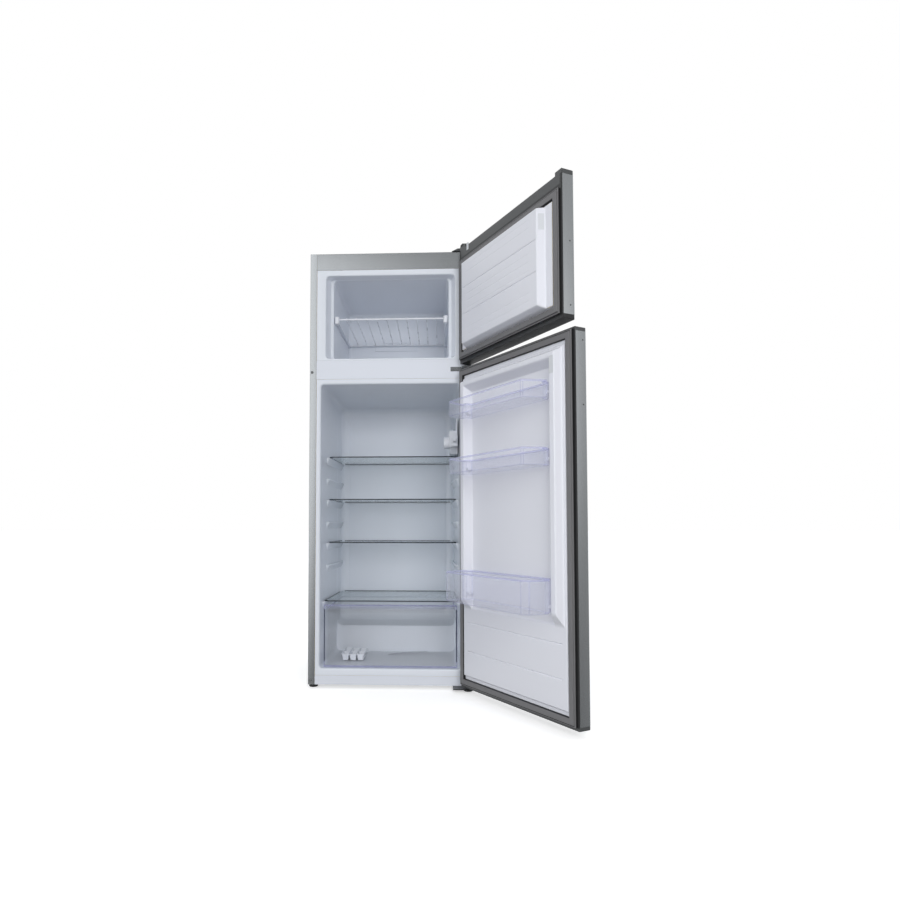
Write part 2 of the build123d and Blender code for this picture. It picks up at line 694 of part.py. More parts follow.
tray_x, tray_y, tray_low, tray_high = (-176.0, -94.0), (104.0, 214.0), 69.6, 92.0
with BuildPart() as ice_tray:
    block(tray_x, tray_y, (tray_high - 2, tray_high))
    pitch_x = (tray_x[1] - tray_x[0] - 4) / 3
    pitch_y = (tray_y[1] - tray_y[0] - 4) / 2
    centres = GridLocations(pitch_x, pitch_y, 3, 2).locations
    middle = (sum(tray_x) / 2, sum(tray_y) / 2)
    for deep in (0, 1):
        for spot in centres:
            x = middle[0] + spot.position.X
            y = middle[1] + spot.position.Y
            inset = 1.6 * deep
            with BuildSketch(Plane.XY.offset(tray_high + deep)) as mouth:
                with Locations((x, y)):
                    RectangleRounded(pitch_x - 1 - 2 * inset, pitch_y - 1 - 2 * inset, 4)
            with BuildSketch(Plane.XY.offset(tray_low + inset)) as base:
                with Locations((x, y)):
                    RectangleRounded(pitch_x - 8 - 2 * inset, pitch_y - 9 - 2 * inset, 3)
            mode = Mode.SUBTRACT if deep else Mode.ADD
            loft([base.sketch, mouth.sketch], mode=mode)
write(ice_tray, "ice_tray")

scraper_outline = [
    (-14.0, 206.0), (30.0, 238.0), (108.0, 268.0), (116.0, 266.0), (117.0, 274.0),
    (108.0, 278.0), (26.0, 249.0), (-22.0, 214.0),
]
with BuildPart() as ice_scraper:
    plan_profile(scraper_outline, (69.2, 72.2))
write(ice_scraper, "ice_scraper")

# ------------------------------------------------------------------ wire shelf of the freezer
cross_wires, wire_pitch = 10, 34.4
front_bar_half, front_bar_radius = 182.5, 3.0
frame_radius, cross_radius = 2.5, 1.5
side_front, side_back = 186.0, 188.0       # side bars, spreading towards the back
weld = 0.05                                # the welded wires are drawn this far apart
clip_back = wire_shelf_front + 12.0
with BuildPart() as wire_shelf:
    front, back, z = wire_shelf_front, wire_shelf_back, wire_shelf_level
    rod((-front_bar_half, front, z), (front_bar_half, front, z), front_bar_radius)
    # the thinner frame bars have their tops level with the front bar's
    frame_z = z + front_bar_radius - frame_radius
    reach = side_back - frame_radius - 2 * weld
    rod((-reach, back, frame_z), (reach, back, frame_z), frame_radius)
    for side in (-1, 1):
        rod((side * side_front, front + 7, frame_z),
            (side * side_back, back + frame_radius, frame_z), frame_radius)
    cross_z = z + front_bar_radius + cross_radius + weld
    for index in range(cross_wires):
        x = (index - (cross_wires - 1) / 2) * wire_pitch
        rod((x, front - 2, cross_z), (x, back + 1, cross_z), cross_radius)
write(wire_shelf, "wire_shelf")

clip_inner, clip_outer = 178.5, 193.0
with BuildPart() as wire_shelf_clips:
    for side in (-1, 1):
        block((side * clip_inner, side * clip_outer), (front - 10, clip_back), (z - 17, z + 9))
        rod((side * (clip_inner - 1), front, z), (side * (front_bar_half + weld), front, z),
            front_bar_radius + weld, Mode.SUBTRACT)
        rod((side * side_front, front + 7 - weld, frame_z),
            (side * (side_front + 0.04), clip_back + 1, frame_z),
            frame_radius + 2 * weld, Mode.SUBTRACT)
write(wire_shelf_clips, "wire_shelf_clips")

# ------------------------------------------------------------------ doors
door_half = half
outer_edge_radius = 6.0
door_return = 6.0
cap_wall = 2.5
base_sheet = 1.8       # the door liner's flat rim behind the gasket
plinth_rise = 8.0      # the raised field inside the gasket
face_wall = 2.0
gasket_proud = 10.5
rim_out = door_in + base_sheet
plinth_out = rim_out + plinth_rise
gasket_out = door_in + gasket_proud
gasket_half, plinth_half = 264.0, 242.0
opening_half = 263.0   # the skin's open inner side, filled by foam and cap


def door_outline(low, inset, back):
    """The door's plan: rounded front edges, square at the inner face."""
    with BuildSketch(Plane.XY.offset(low)) as outline:
        front = door_out + inset
        with Locations((0, (front + back) / 2)):
            Rectangle(2 * (door_half - inset), back - front)
        corners = outline.vertices().group_by(Axis.Y)[0]
        fillet(corners, outer_edge_radius - inset)
    return outline.sketch


def door_skin(low, high):
    """Folded sheet: front, both sides and a short return along each side."""
    with BuildPart() as skin:
        extrude(door_outline(low, 0, door_in), amount=high - low)
        extrude(door_outline(low, sheet, door_in - sheet), amount=high - low,
                mode=Mode.SUBTRACT)
        open_half = door_half - door_return
        block((-open_half, open_half), (door_in - 2 * sheet, door_in + 1), (low, high),
              Mode.SUBTRACT)
    return skin


def pin_bore(z):
    """The bore for a hinge pin."""
    rod((hinge_x, hinge_y, z[0]), (hinge_x, hinge_y, z[1]), pin_bore_radius, Mode.SUBTRACT)


def ring(x_outer, z_outer, x_inner, z_inner, y):
    """A rectangular frame around the door's inner face."""
    block((-x_outer, x_outer), y, z_outer)
    block((-x_inner, x_inner), (y[0] - 1, y[1] + 1), z_inner, Mode.SUBTRACT)


def door_gasket(outer_z, inner_z):
    """Magnetic gasket: a wide band with two folds in its face."""
    with BuildPart() as gasket:
        ring(gasket_half, outer_z, plinth_half + 0.3, (inner_z[0] - 0.3, inner_z[1] + 0.3),
             (rim_out, gasket_out))
        for inward, wide in ((5.5, 1.6), (15.0, 1.6)):
            grow = inward + wide
            x0, x1 = gasket_half - inward, gasket_half - grow
            for side in (-1, 1):
                block((side * x0, side * x1), (gasket_out - 1.5, gasket_out + 1),
                      (outer_z[0] + inward, outer_z[1] - inward), Mode.SUBTRACT)
            for z in (outer_z[0] + inward, outer_z[1] - grow):
                block((-x0, x0), (gasket_out - 1.5, gasket_out + 1), (z, z + wide),
                      Mode.SUBTRACT)
    return gasket


def cap_shell(low, high, hollow_from, hollow_to):
    """A plastic end cap over the door's plan, hollow between its solid ends."""
    extrude(door_outline(low, 0, door_in), amount=high - low)
    room = half - cap_end
    block((-room, room), (door_out + cap_wall, door_in - cap_wall), (hollow_from, hollow_to),
          Mode.SUBTRACT)


# freezer door
skin_low, skin_high = 1072.0, 1437.5
rim_low, rim_high = 1072.7, 1400.0
band_thick = 3.0       # dark band of the top cap, above the gasket
plinth_low, plinth_high = 1097.0, 1375.0
plug_base = (plinth_out, 213.0, 1098.5, 1369.0, 8.0)
plug_face = (20.3, 203.5, 1108.0, 1367.0, 8.0)

freezer_door_skin = door_skin(skin_low, skin_high)
write(freezer_door_skin, "freezer_door_skin", freezer_door_open)

with BuildPart() as freezer_door_top_cap:
    lobe_top = freezer_door_high + lobe_height
    extrude(door_outline(skin_high, 0, door_in), amount=lobe_top - skin_high)
    block((free_lobe - half, half - hinge_lobe), (door_out - 1, door_in + 1),
          (freezer_door_high, lobe_top + 1), Mode.SUBTRACT)
    block((-opening_half, opening_half), (door_in - band_thick, door_in),
          (rim_high - band_thick, skin_high))
    pin_bore((lobe_top - pin_engagement - 1, lobe_top))
write(freezer_door_top_cap, "freezer_door_top_cap", freezer_door_open)

with BuildPart() as freezer_door_bottom_cap:
    cap_shell(freezer_door_low, skin_low, freezer_door_low + cap_wall, skin_low + 1)
    pin_bore((freezer_door_low, 1071.2))
write(freezer_door_bottom_cap, "freezer_door_bottom_cap", freezer_door_open)

plug_grooves = (1284.5, 1199.0)
fine_lines = (1350.0, 1328.0, 1258.0, 1236.0, 1151.0, 1130.0)
with BuildPart() as freezer_door_liner:
    block((-gasket_half - 0.5, gasket_half + 0.5), (door_in, rim_out),
          (rim_low - 0.2, rim_high + 0.2))
    block((-plinth_half, plinth_half), (rim_out, plinth_out), (plinth_low, plinth_high))
    tub([plug_base, plug_face])
    block((face_wall - plinth_half, plinth_half - face_wall),
          (door_in, plinth_out - face_wall),
          (plinth_low + face_wall, plinth_high - face_wall), Mode.SUBTRACT)
    inner_base, inner_face = deeper(plug_base, -face_wall), deeper(plug_face, -face_wall)
    tub([inner_base, inner_face], -face_wall, Mode.SUBTRACT)
    for z in plug_grooves:
        block((-199, 199), (plug_face[0] - 1.0, plug_face[0] + 1), (z - 1.5, z + 1.5),
              Mode.SUBTRACT)
    for z in fine_lines:
        block((-190, 190), (plug_face[0] - 0.4, plug_face[0] + 1), (z - 0.8, z + 0.8),
              Mode.SUBTRACT)
write(freezer_door_liner, "freezer_door_liner", freezer_door_open)

freezer_door_gasket = door_gasket((rim_low, rim_high), (plinth_low, plinth_high))
write(freezer_door_gasket, "freezer_door_gasket", freezer_door_open)

with BuildPart() as freezer_door_foam:
    band_low = rim_high - band_thick
    extrude(door_outline(skin_low, sheet, door_in - sheet), amount=band_low - skin_low)
    extrude(door_outline(band_low, sheet, door_in - band_thick), amount=skin_high - band_low)
    block((-opening_half, opening_half), (door_in - sheet, door_in), (skin_low, band_low))
    block((face_wall - plinth_half, plinth_half - face_wall),
          (door_in, plinth_out - face_wall),
          (plinth_low + face_wall, plinth_high - face_wall))
    tub([inner_base, inner_face], -face_wall)
write(freezer_door_foam, "freezer_door_foam", freezer_door_open)

# refrigerator door
skin_low, skin_high = 28.5, 1033.0
rim_low, rim_high = 27.0, 1037.0
plinth_low, plinth_high = 59.0, 1005.0
ridge_face = 20.3
ridge_foot_back, ridge_foot_face = 274.0, 303.0
recess_out = plinth_out - 4.0

fridge_door_skin = door_skin(skin_low, skin_high)
write(fridge_door_skin, "fridge_door_skin", fridge_door_open)

with BuildPart() as fridge_door_top_cap:
    cap_shell(skin_high, fridge_door_high, skin_high - 1, fridge_door_high - cap_wall)
    pin_bore((1033.5, fridge_door_high))
write(fridge_door_top_cap, "fridge_door_top_cap", fridge_door_open)

with BuildPart() as fridge_door_bottom_cap:
    cap_shell(fridge_door_low, skin_low, fridge_door_low + cap_wall, skin_low + 1)
    pin_bore((fridge_door_low, 28.0))
write(fridge_door_bottom_cap, "fridge_door_bottom_cap", fridge_door_open)

bin_heights = {"door_bin_top": (866.0, 914.0), "door_bin_middle": (690.0, 737.0),
               "bottle_bin": (304.0, 394.0)}
lug_rise, lug_height = 14.0, 8.0


def ridges():
    """The upside-down U of ridges that frames the door bins."""
    back = plinth_out - 1
    for side in (-1, 1):
        points = [(-230, back), (-223, ridge_face), (-204, ridge_face), (-194.5, back)]
        points = [(side * x, y) for x, y in points]
        plan_profile(points, (ridge_foot_back, 992.0))
    points = [(back, 997.0), (ridge_face, 987.0), (ridge_face, 973.0), (back, 957.0)]
    side_profile(points, (-223.0, 223.0))


door_grooves = (228.0, 138.0)
with BuildPart() as ridge_solid:
    ridges()
    foot = [(ridge_face + 1, ridge_foot_face + 1), (ridge_face + 1, 200.0), (-30.0, 200.0),
            (-30.0, 246.0)]
    side_profile(foot, (-half, half), Mode.SUBTRACT)

with BuildPart() as fridge_door_liner:
    block((-gasket_half - 0.5, gasket_half + 0.5), (door_in, rim_out),
          (rim_low - 0.2, rim_high + 0.2))
    block((-plinth_half, plinth_half), (rim_out, plinth_out), (plinth_low, plinth_high))
    block((-194, 194), (recess_out, plinth_out + 1), (ridge_foot_back, 957), Mode.SUBTRACT)
    add(ridge_solid.part)
    hollow_low, hollow_high = plinth_low + face_wall, plinth_high - face_wall
    block((face_wall - plinth_half, plinth_half - face_wall),
          (door_in, recess_out - face_wall), (hollow_low, hollow_high), Mode.SUBTRACT)
    for z in door_grooves:
        block((-224, 210), (plinth_out - 1.0, plinth_out + 1), (z - 1.5, z + 1.5),
              Mode.SUBTRACT)
    for low, high in bin_heights.values():
        for side in (-1, 1):
            block((side * 186, side * 200), (0, 14),
                  (low + lug_rise, low + lug_rise + lug_height))
write(fridge_door_liner, "fridge_door_liner", fridge_door_open)

fridge_door_gasket = door_gasket((rim_low, rim_high), (plinth_low, plinth_high))
write(fridge_door_gasket, "fridge_door_gasket", fridge_door_open)

with BuildPart() as fridge_door_foam:
    extrude(door_outline(skin_low, sheet, door_in - sheet), amount=skin_high - skin_low)
    block((-opening_half, opening_half), (door_in - sheet, door_in), (skin_low, skin_high))
    block((face_wall - plinth_half, plinth_half - face_wall),
          (door_in, recess_out - face_wall), (hollow_low, hollow_high))
write(fridge_door_foam, "fridge_door_foam", fridge_door_open)

# door bins: clear trays with slanting sides, hung by an ear on each side
bin_wall, bin_back, ear_gap = 2.0, 2.0, 0.3
bin_neck, bin_shoulder, bin_wing = 184.0, 22.6, 204.0   # it widens in front of the ridges


def door_bin(low, high, front, front_half, corner):
    """A tray whose front half width and corner cut are given; its back is between the ridges."""
    outer = [
        (-bin_neck, bin_back), (bin_neck, bin_back), (bin_neck, bin_shoulder),
        (bin_wing, bin_shoulder),
        (front_half, front - corner), (front_half - corner * 1.3, front),
        (-front_half + corner * 1.3, front), (-front_half, front - corner),
        (-bin_wing, bin_shoulder), (-bin_neck, bin_shoulder),
    ]
    with BuildPart() as tray:
        with BuildSketch(Plane.XY.offset(low)) as outline:
            with BuildLine():
                Polyline(*outer, close=True)
            make_face()
        extrude(outline.sketch, amount=high - low)
        with BuildSketch(Plane.XY.offset(low + bin_wall)) as room:
            with BuildLine():
                Polyline(*outer, close=True)
            make_face()
            offset(amount=-bin_wall, kind=Kind.INTERSECTION, mode=Mode.REPLACE)
        extrude(room.sketch, amount=high - low, mode=Mode.SUBTRACT)
        rest = low + lug_rise + lug_height + ear_gap
        for side in (-1, 1):
            block((side * 183, side * 193), (1.0 + bin_back, 13), (rest, rest + 4))
    return tray


for name, (front, front_half, corner) in {
    "door_bin_top": (90.3, 180.0, 4.0),
    "door_bin_middle": (90.3, 180.0, 4.0),
    "bottle_bin": (99.3, 199.0, 14.0),
}.items():
    low, high = bin_heights[name]
    tray = door_bin(low, high, front, front_half, corner)
    write(tray, name, fridge_door_open)
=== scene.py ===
"""Looks of the two-door refrigerator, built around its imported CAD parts.

Lengths are in millimetres until a piece becomes a mesh.  X to the right, Y to the back,
Z up, with the origin on the floor under the middle of the cabinet's front face.  Door
pieces are built with the door closed, then swung to the angle that the CAD model rests at.
"""
import json
import math

import bmesh
import bpy
from mathutils import Matrix, Vector

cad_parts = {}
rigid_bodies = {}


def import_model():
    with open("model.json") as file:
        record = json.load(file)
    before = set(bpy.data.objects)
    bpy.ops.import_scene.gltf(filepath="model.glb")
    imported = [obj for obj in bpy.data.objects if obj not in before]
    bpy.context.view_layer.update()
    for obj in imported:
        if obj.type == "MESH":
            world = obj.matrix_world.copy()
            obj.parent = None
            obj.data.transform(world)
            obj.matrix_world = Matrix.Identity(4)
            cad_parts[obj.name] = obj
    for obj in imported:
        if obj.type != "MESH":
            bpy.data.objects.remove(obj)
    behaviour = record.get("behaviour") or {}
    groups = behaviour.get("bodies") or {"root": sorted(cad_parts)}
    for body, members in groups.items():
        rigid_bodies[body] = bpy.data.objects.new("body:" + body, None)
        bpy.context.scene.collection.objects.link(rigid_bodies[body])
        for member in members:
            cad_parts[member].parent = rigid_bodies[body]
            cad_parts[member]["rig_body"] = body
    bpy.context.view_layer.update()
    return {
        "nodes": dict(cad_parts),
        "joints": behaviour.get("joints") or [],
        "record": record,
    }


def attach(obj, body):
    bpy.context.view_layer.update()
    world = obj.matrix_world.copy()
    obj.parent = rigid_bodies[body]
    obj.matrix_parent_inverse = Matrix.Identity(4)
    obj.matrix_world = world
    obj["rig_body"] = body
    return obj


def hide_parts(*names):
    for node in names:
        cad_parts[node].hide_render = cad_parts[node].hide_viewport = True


MM = 0.001
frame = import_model()
scene = bpy.context.scene
nodes = frame["nodes"]
joints = {joint["name"]: joint for joint in frame["joints"]}


# ------------------------------ places from the frame
def swing_of(joint_name):
    """The matrix, in metres, that opens what was built with its door closed."""
    joint = joints[joint_name]
    angle = -math.radians(joint["range_deg"][0])
    x, y, _ = joint["pos_m"]
    place = Matrix.Translation((x, y, 0))
    return place @ Matrix.Rotation(angle, 4, "Z") @ place.inverted()


freezer_swing = swing_of("freezer_door_hinge")
fridge_swing = swing_of("fridge_door_hinge")
swings = {
    "freezer_door": freezer_swing,
    "fridge_door": fridge_swing,
    "top_bin": fridge_swing,
    "middle_bin": fridge_swing,
    "bottle_bin": fridge_swing,
}


class Limits:
    """The extent of a CAD node in millimetres, with its door closed."""

    def __init__(self, node):
        shut = swings.get(nodes[node]["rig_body"], Matrix()).inverted()
        points = [shut @ vertex.co / MM for vertex in nodes[node].data.vertices]
        self.x0, self.y0, self.z0 = (min(p[i] for p in points) for i in range(3))
        self.x1, self.y1, self.z1 = (max(p[i] for p in points) for i in range(3))


# ------------------------------ outlines and shapes
def arc_corner(before, corner, after, radius, steps):
    """Points of the arc that rounds one corner of an outline."""
    corner = Vector(corner)
    into, out = Vector(before) - corner, Vector(after) - corner
    if radius < 1e-6:
        return [tuple(corner)] * (steps + 1)
    angle = into.angle(out)
    reach = min(radius / math.tan(angle / 2), into.length * 0.49, out.length * 0.49)
    radius = reach * math.tan(angle / 2)
    start = corner + into.normalized() * reach
    middle = corner + (into.normalized() + out.normalized()).normalized() * (
        radius / math.sin(angle / 2)
    )
    arm = start - middle
    turn = (math.pi - angle) * (-1 if into.cross(out) > 0 else 1)
    points = []
    for step in range(steps + 1):
        a = turn * step / steps
        points.append((
            middle.x + arm.x * math.cos(a) - arm.y * math.sin(a),
            middle.y + arm.x * math.sin(a) + arm.y * math.cos(a),
        ))
    return points


def rounded(points, radius, steps=4):
    """A closed outline with every corner rounded; radius is one number or one each."""
    count = len(points)
    radii = radius if isinstance(radius, (list, tuple)) else [radius] * count
    result = []
    for i, point in enumerate(points):
        result += arc_corner(points[i - 1], point, points[(i + 1) % count], radii[i], steps)
    return result


def inset(points, distance):
    """A closed outline moved inwards, its corners kept."""
    area = sum(
        p[0] * q[1] - q[0] * p[1] for p, q in zip(points, points[1:] + points[:1])
    )
    side = 1 if area > 0 else -1
    moved = []
    for i, point in enumerate(points):
        p = Vector(point)
        a = (p - Vector(points[i - 1])).normalized()
        b = (Vector(points[(i + 1) % len(points)]) - p).normalized()
        normal_a, normal_b = Vector((-a.y, a.x)) * side, Vector((-b.y, b.x)) * side
        middle = normal_a + normal_b
        p += middle * (distance * 2 / middle.length_squared)
        moved.append((p.x, p.y))
    return moved


def rectangle(x0, x1, y0, y1):
    return [(x0, y0), (x1, y0), (x1, y1), (x0, y1)]


def mirrored(outline, side):
    """The outline itself where side is 1, its left-hand twin where side is -1."""
    return [(side * across, other) for across, other in outline]


def strip(path, thickness):
    """The closed outline of a bent sheet whose path is given, thickened to its left."""
    points = [Vector(p) for p in path]
    other = []
    for i, p in enumerate(points):
        before = points[max(i - 1, 0)]
        after = points[min(i + 1, len(points) - 1)]
        along = (after - before).normalized()
        q = p + Vector((-along.y, along.x)) * thickness
        other.append((q.x, q.y))
    return [tuple(p) for p in points] + other[::-1]


def in_plan(outline, z):
    return [(x, y, z) for x, y in outline]


def in_front(outline, y):
    return [(x, y, z) for x, z in outline]


def in_side(outline, x):
    return [(x, y, z) for y, z in outline]


def circle(middle, normal, across, radius, sides):
    """Points round a 3D circle whose plane is given by two directions across each other."""
    ring = []
    for step in range(sides):
        a = 2 * math.pi * step / sides
        ring.append(tuple(middle + (normal * math.cos(a) + across * math.sin(a)) * radius))
    return ring


class Shape:
    """Points in millimetres and faces, gathered before they become one mesh."""

    def __init__(self):
        self.points = []
        self.faces = []
        self.finishes = []

    def face(self, corners, finish=0):
        self.faces.append(tuple(corners))
        self.finishes.append(finish)

    def loft(self, loops, caps=(True, True), finish=0, ends=None, around=True):
        """Skin between loops of one length; finish may be a function of (row, column)."""
        pick = finish if callable(finish) else lambda row, column: finish
        first, count = len(self.points), len(loops[0])
        for loop in loops:
            self.points.extend(loop)
        for row in range(len(loops) - 1):
            low = first + row * count
            for i in range(count if around else count - 1):
                j = (i + 1) % count
                self.face((low + i, low + j, low + count + j, low + count + i), pick(row, i))
        ends = pick(0, 0) if ends is None else ends
        if caps[0]:
            self.face(range(first + count - 1, first - 1, -1), ends)
        if caps[1]:
            last = first + (len(loops) - 1) * count
            self.face(range(last, last + count), ends)
        return self

    def prism(self, outline, low, high, place=in_plan, finish=0):
        return self.loft([place(outline, low), place(outline, high)], finish=finish)

    def tube(self, path, radius, sides):
        """A round bar along a 3D path, with domed ends."""
        points = [Vector(p) for p in path]
        last = len(points) - 1
        dome = ((0.54, 0.35), (0.36, 0.8), (0.0, 1.0))
        loops = []
        normal = None
        for i, p in enumerate(points):
            along = (points[min(i + 1, last)] - points[max(i - 1, 0)]).normalized()
            if normal is None:
                normal = along.orthogonal().normalized()
            normal = (normal - along * normal.dot(along)).normalized()
            across = along.cross(normal)
            rings = [(0.0, 1.0)]
            if i == 0:
                rings = [(-out, wide) for out, wide in dome]
            elif i == last:
                rings = dome[::-1]
            for out, wide in rings:
                middle = p + along * (radius * out)
                loops.append(circle(middle, normal, across, radius * wide, sides))
        return self.loft(loops)

    def turned(self, origin, axis, profile, sides):
        """A turned form: profile is (distance along the axis, radius)."""
        axis = Vector(axis).normalized()
        normal = axis.orthogonal().normalized()
        across = axis.cross(normal)
        return self.loft([
            circle(Vector(origin) + axis * along, normal, across, radius, sides)
            for along, radius in profile
        ])


def path_3d(points, radius):
    """A 3D path with its inner corners rounded."""
    steps = 6
    result = [Vector(points[0])]
    for before, corner, after in zip(points, points[1:], points[2:]):
        corner = Vector(corner)
        into, out = Vector(before) - corner, Vector(after) - corner
        reach = min(radius, into.length * 0.48, out.length * 0.48)
        start, end = corner + into.normalized() * reach, corner + out.normalized() * reach
        for step in range(steps + 1):
            t = step / steps
            result.append(start * (1 - t) ** 2 + corner * 2 * t * (1 - t) + end * t * t)
    result.append(Vector(points[-1]))
    return result


def piece(shape, name, body, finishes, stands_for=(), sharp=32.0):
    """Make the gathered shape a mesh that rides on a body, swung open with its door."""
    mesh = bpy.data.meshes.new(name)
    mesh.from_pydata([Vector(p) * MM for p in shape.points], [], shape.faces)
    for finish in finishes:
        mesh.materials.append(finish)
    mesh.polygons.foreach_set("material_index", shape.finishes)
    made = bmesh.new()
    made.from_mesh(mesh)
    bmesh.ops.remove_doubles(made, verts=made.verts, dist=0.00002)
    bmesh.ops.recalc_face_normals(made, faces=made.faces)
    made.to_mesh(mesh)
    made.free()
    mesh.transform(swings.get(body, Matrix()))
    obj = bpy.data.objects.new(name, mesh)
    scene.collection.objects.link(obj)
    mesh.shade_smooth()
    mesh.set_sharp_from_angle(angle=math.radians(sharp))
    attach(obj, body)
    if stands_for:
        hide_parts(*stands_for)


# ------------------------------ materials
def fill(node, **values):
    """Set a node's input sockets by name, with _ for a space."""
    for socket, value in values.items():
        node.inputs[socket.replace("_", " ")].default_value = value


def material(name, colour, roughness, metallic=0.0, mottle=0.04, mottle_scale=6.0,
             grain=0.05, grain_scale=900.0, uneven=0.06, stretch=(1, 1, 1)):
    """A procedural surface: mottled colour, uneven gloss and a fine grain in relief."""
    made = bpy.data.materials.new(name)
    made.use_nodes = True
    tree = made.node_tree
    link = tree.links.new
    shader = tree.nodes["Principled BSDF"]
    fill(shader, Metallic=metallic)
    coordinates = tree.nodes.new("ShaderNodeTexCoord")
    mapping = tree.nodes.new("ShaderNodeMapping")
    fill(mapping, Scale=stretch)
    link(coordinates.outputs["Object"], mapping.inputs["Vector"])

    def noise(scale, detail):
        texture = tree.nodes.new("ShaderNodeTexNoise")
        fill(texture, Scale=scale, Detail=detail)
        link(mapping.outputs["Vector"], texture.inputs["Vector"])
        return texture.outputs["Fac"]

    tint = tree.nodes.new("ShaderNodeMix")
    tint.data_type = "RGBA"
    fill(tint, A=(*[c * (1 - mottle) for c in colour], 1),
         B=(*[min(c * (1 + mottle), 1) for c in colour], 1))
    link(noise(mottle_scale, 3.0), tint.inputs["Factor"])
    link(tint.outputs["Result"], shader.inputs["Base Color"])

    gloss = tree.nodes.new("ShaderNodeMapRange")
    fill(gloss, To_Min=max(roughness - uneven, 0.02), To_Max=min(roughness + uneven, 1.0))
    link(noise(mottle_scale * 5, 4.0), gloss.inputs["Value"])
    link(gloss.outputs["Result"], shader.inputs["Roughness"])

    relief = tree.nodes.new("ShaderNodeBump")
    fill(relief, Strength=grain, Distance=0.0004)
    link(noise(grain_scale, 2.0), relief.inputs["Height"])
    link(relief.outputs["Normal"], shader.inputs["Normal"])
    return made


def see_through(name, tint, body, roughness, face_on, edge_on):
    """Clear moulding: light passes, and it grows milky where it is seen along the wall."""
    made = material(name, body, roughness, mottle=0.03, mottle_scale=14.0, grain=0.03,
                    grain_scale=260.0, uneven=0.04)
    tree = made.node_tree
    link = tree.links.new
    clear = tree.nodes.new("ShaderNodeBsdfTransparent")
    fill(clear, Color=(*tint, 1))
    facing = tree.nodes.new("ShaderNodeLayerWeight")
    fill(facing, Blend=0.35)
    amount = tree.nodes.new("ShaderNodeMapRange")
    fill(amount, To_Min=face_on, To_Max=edge_on)
    link(facing.outputs["Facing"], amount.inputs["Value"])
    mix = tree.nodes.new("ShaderNodeMixShader")
    link(amount.outputs["Result"], mix.inputs["Fac"])
    link(clear.outputs["BSDF"], mix.inputs[1])
    link(tree.nodes["Principled BSDF"].outputs["BSDF"], mix.inputs[2])
    link(mix.outputs["Shader"], tree.nodes["Material Output"].inputs["Surface"])
    return made


brushed_silver = {
    "colour": (0.43, 0.445, 0.455), "roughness": 0.25, "metallic": 0.9, "mottle": 0.03,
    "grain": 0.10, "grain_scale": 1400.0, "uneven": 0.04, "stretch": (1, 1, 0.02),
}
silver_paint = material("silver_paint", **brushed_silver)
door_paint = material("door_paint", **brushed_silver)
white_paint = material("white_paint", (0.77, 0.80, 0.87), 0.34, mottle=0.015,
                       grain=0.05, grain_scale=700.0)
galvanised = material("galvanised", (0.48, 0.50, 0.52), 0.42, metallic=0.9, mottle=0.16,
                      mottle_scale=55.0, grain=0.05, uneven=0.1)
foam = material("foam", (0.80, 0.68, 0.40), 0.9, mottle=0.12, mottle_scale=60.0, grain=0.6,
                grain_scale=420.0)
liner_white = material("liner_white", (0.79, 0.825, 0.89), 0.24, mottle=0.012,
                       mottle_scale=4.0, grain=0.04, grain_scale=120.0, uneven=0.04)
door_liner_white = material("door_liner_white", (0.79, 0.80, 0.86), 0.3, mottle=0.012,
                            mottle_scale=4.0, grain=0.05, grain_scale=160.0, uneven=0.05)
white_plastic = material("white_plastic", (0.80, 0.82, 0.87), 0.3, mottle=0.01,
                         grain=0.04, grain_scale=500.0)
hinge_steel = material("hinge_steel", (0.30, 0.31, 0.325), 0.24, metallic=1.0, mottle=0.08,
                       mottle_scale=40.0, grain=0.12, stretch=(1, 6, 6))
dark_plastic = material("dark_plastic", (0.072, 0.075, 0.077), 0.42, mottle=0.06,
                        mottle_scale=30.0, grain=0.35, grain_scale=1500.0)
plug_grey = material("plug_grey", (0.16, 0.165, 0.17), 0.45, mottle=0.05, grain=0.2)
# also used as painted shadow: the door sheets' inner borders, the frames under the gaskets and
# the freezer door's bottom cap
black_plastic = material("black_plastic", (0.022, 0.023, 0.024), 0.45, mottle=0.1,
                         mottle_scale=30.0, grain=0.35, grain_scale=1500.0)
black_enamel = material("black_enamel", (0.018, 0.018, 0.02), 0.3, mottle=0.1,
                        mottle_scale=25.0, grain=0.15, grain_scale=300.0)
rubber = material("rubber_mount", (0.03, 0.03, 0.03), 0.7, mottle=0.1, grain=0.3)
gasket_grey = material("gasket_grey", (0.165, 0.163, 0.168), 0.5, mottle=0.05,
                       mottle_scale=20.0, grain=0.15, grain_scale=800.0)
# near-black for the gasket's fold walls: painted shade inside the folds, not the rubber's own
# colour
gasket_painted_shade = material("gasket_painted_shade", (0.012, 0.012, 0.013), 0.6, mottle=0.05, grain=0.15)
glass_edge = material("glass_edge", (0.05, 0.058, 0.066), 0.15, mottle=0.35,
                      mottle_scale=60.0, grain=0.1, grain_scale=200.0)
sticker = material("sticker", (0.66, 0.68, 0.71), 0.5, mottle=0.03, grain=0.05)
shelf_glass = see_through("shelf_glass", (0.975, 0.99, 0.99), (0.72, 0.80, 0.83), 0.08,
                          0.04, 0.40)
clear_plastic = see_through("clear_plastic", (0.985, 0.985, 0.995), (0.78, 0.80, 0.92),
                            0.14, 0.05, 0.42)
clear_edge = see_through("clear_edge", (0.90, 0.905, 0.975), (0.74, 0.75, 0.93), 0.16,
                         0.16, 0.52)
drawer_plastic = see_through("drawer_plastic", (0.995, 0.996, 0.999), (0.90, 0.94, 1.0),
                             0.14, 0.03, 0.10)
# dark bluish strips for the drawer front's side edges: painted shade
drawer_painted_shadow = material("drawer_painted_shadow", (0.05, 0.055, 0.09), 0.3, mottle=0.2, grain=0.1)
lamp_diffuser = see_through("lamp_diffuser", (0.9, 0.92, 0.96), (0.8, 0.83, 0.88), 0.25,
                            0.55, 0.85)
white_wire = material("white_wire", (0.80, 0.82, 0.87), 0.28, mottle=0.02, grain=0.06)

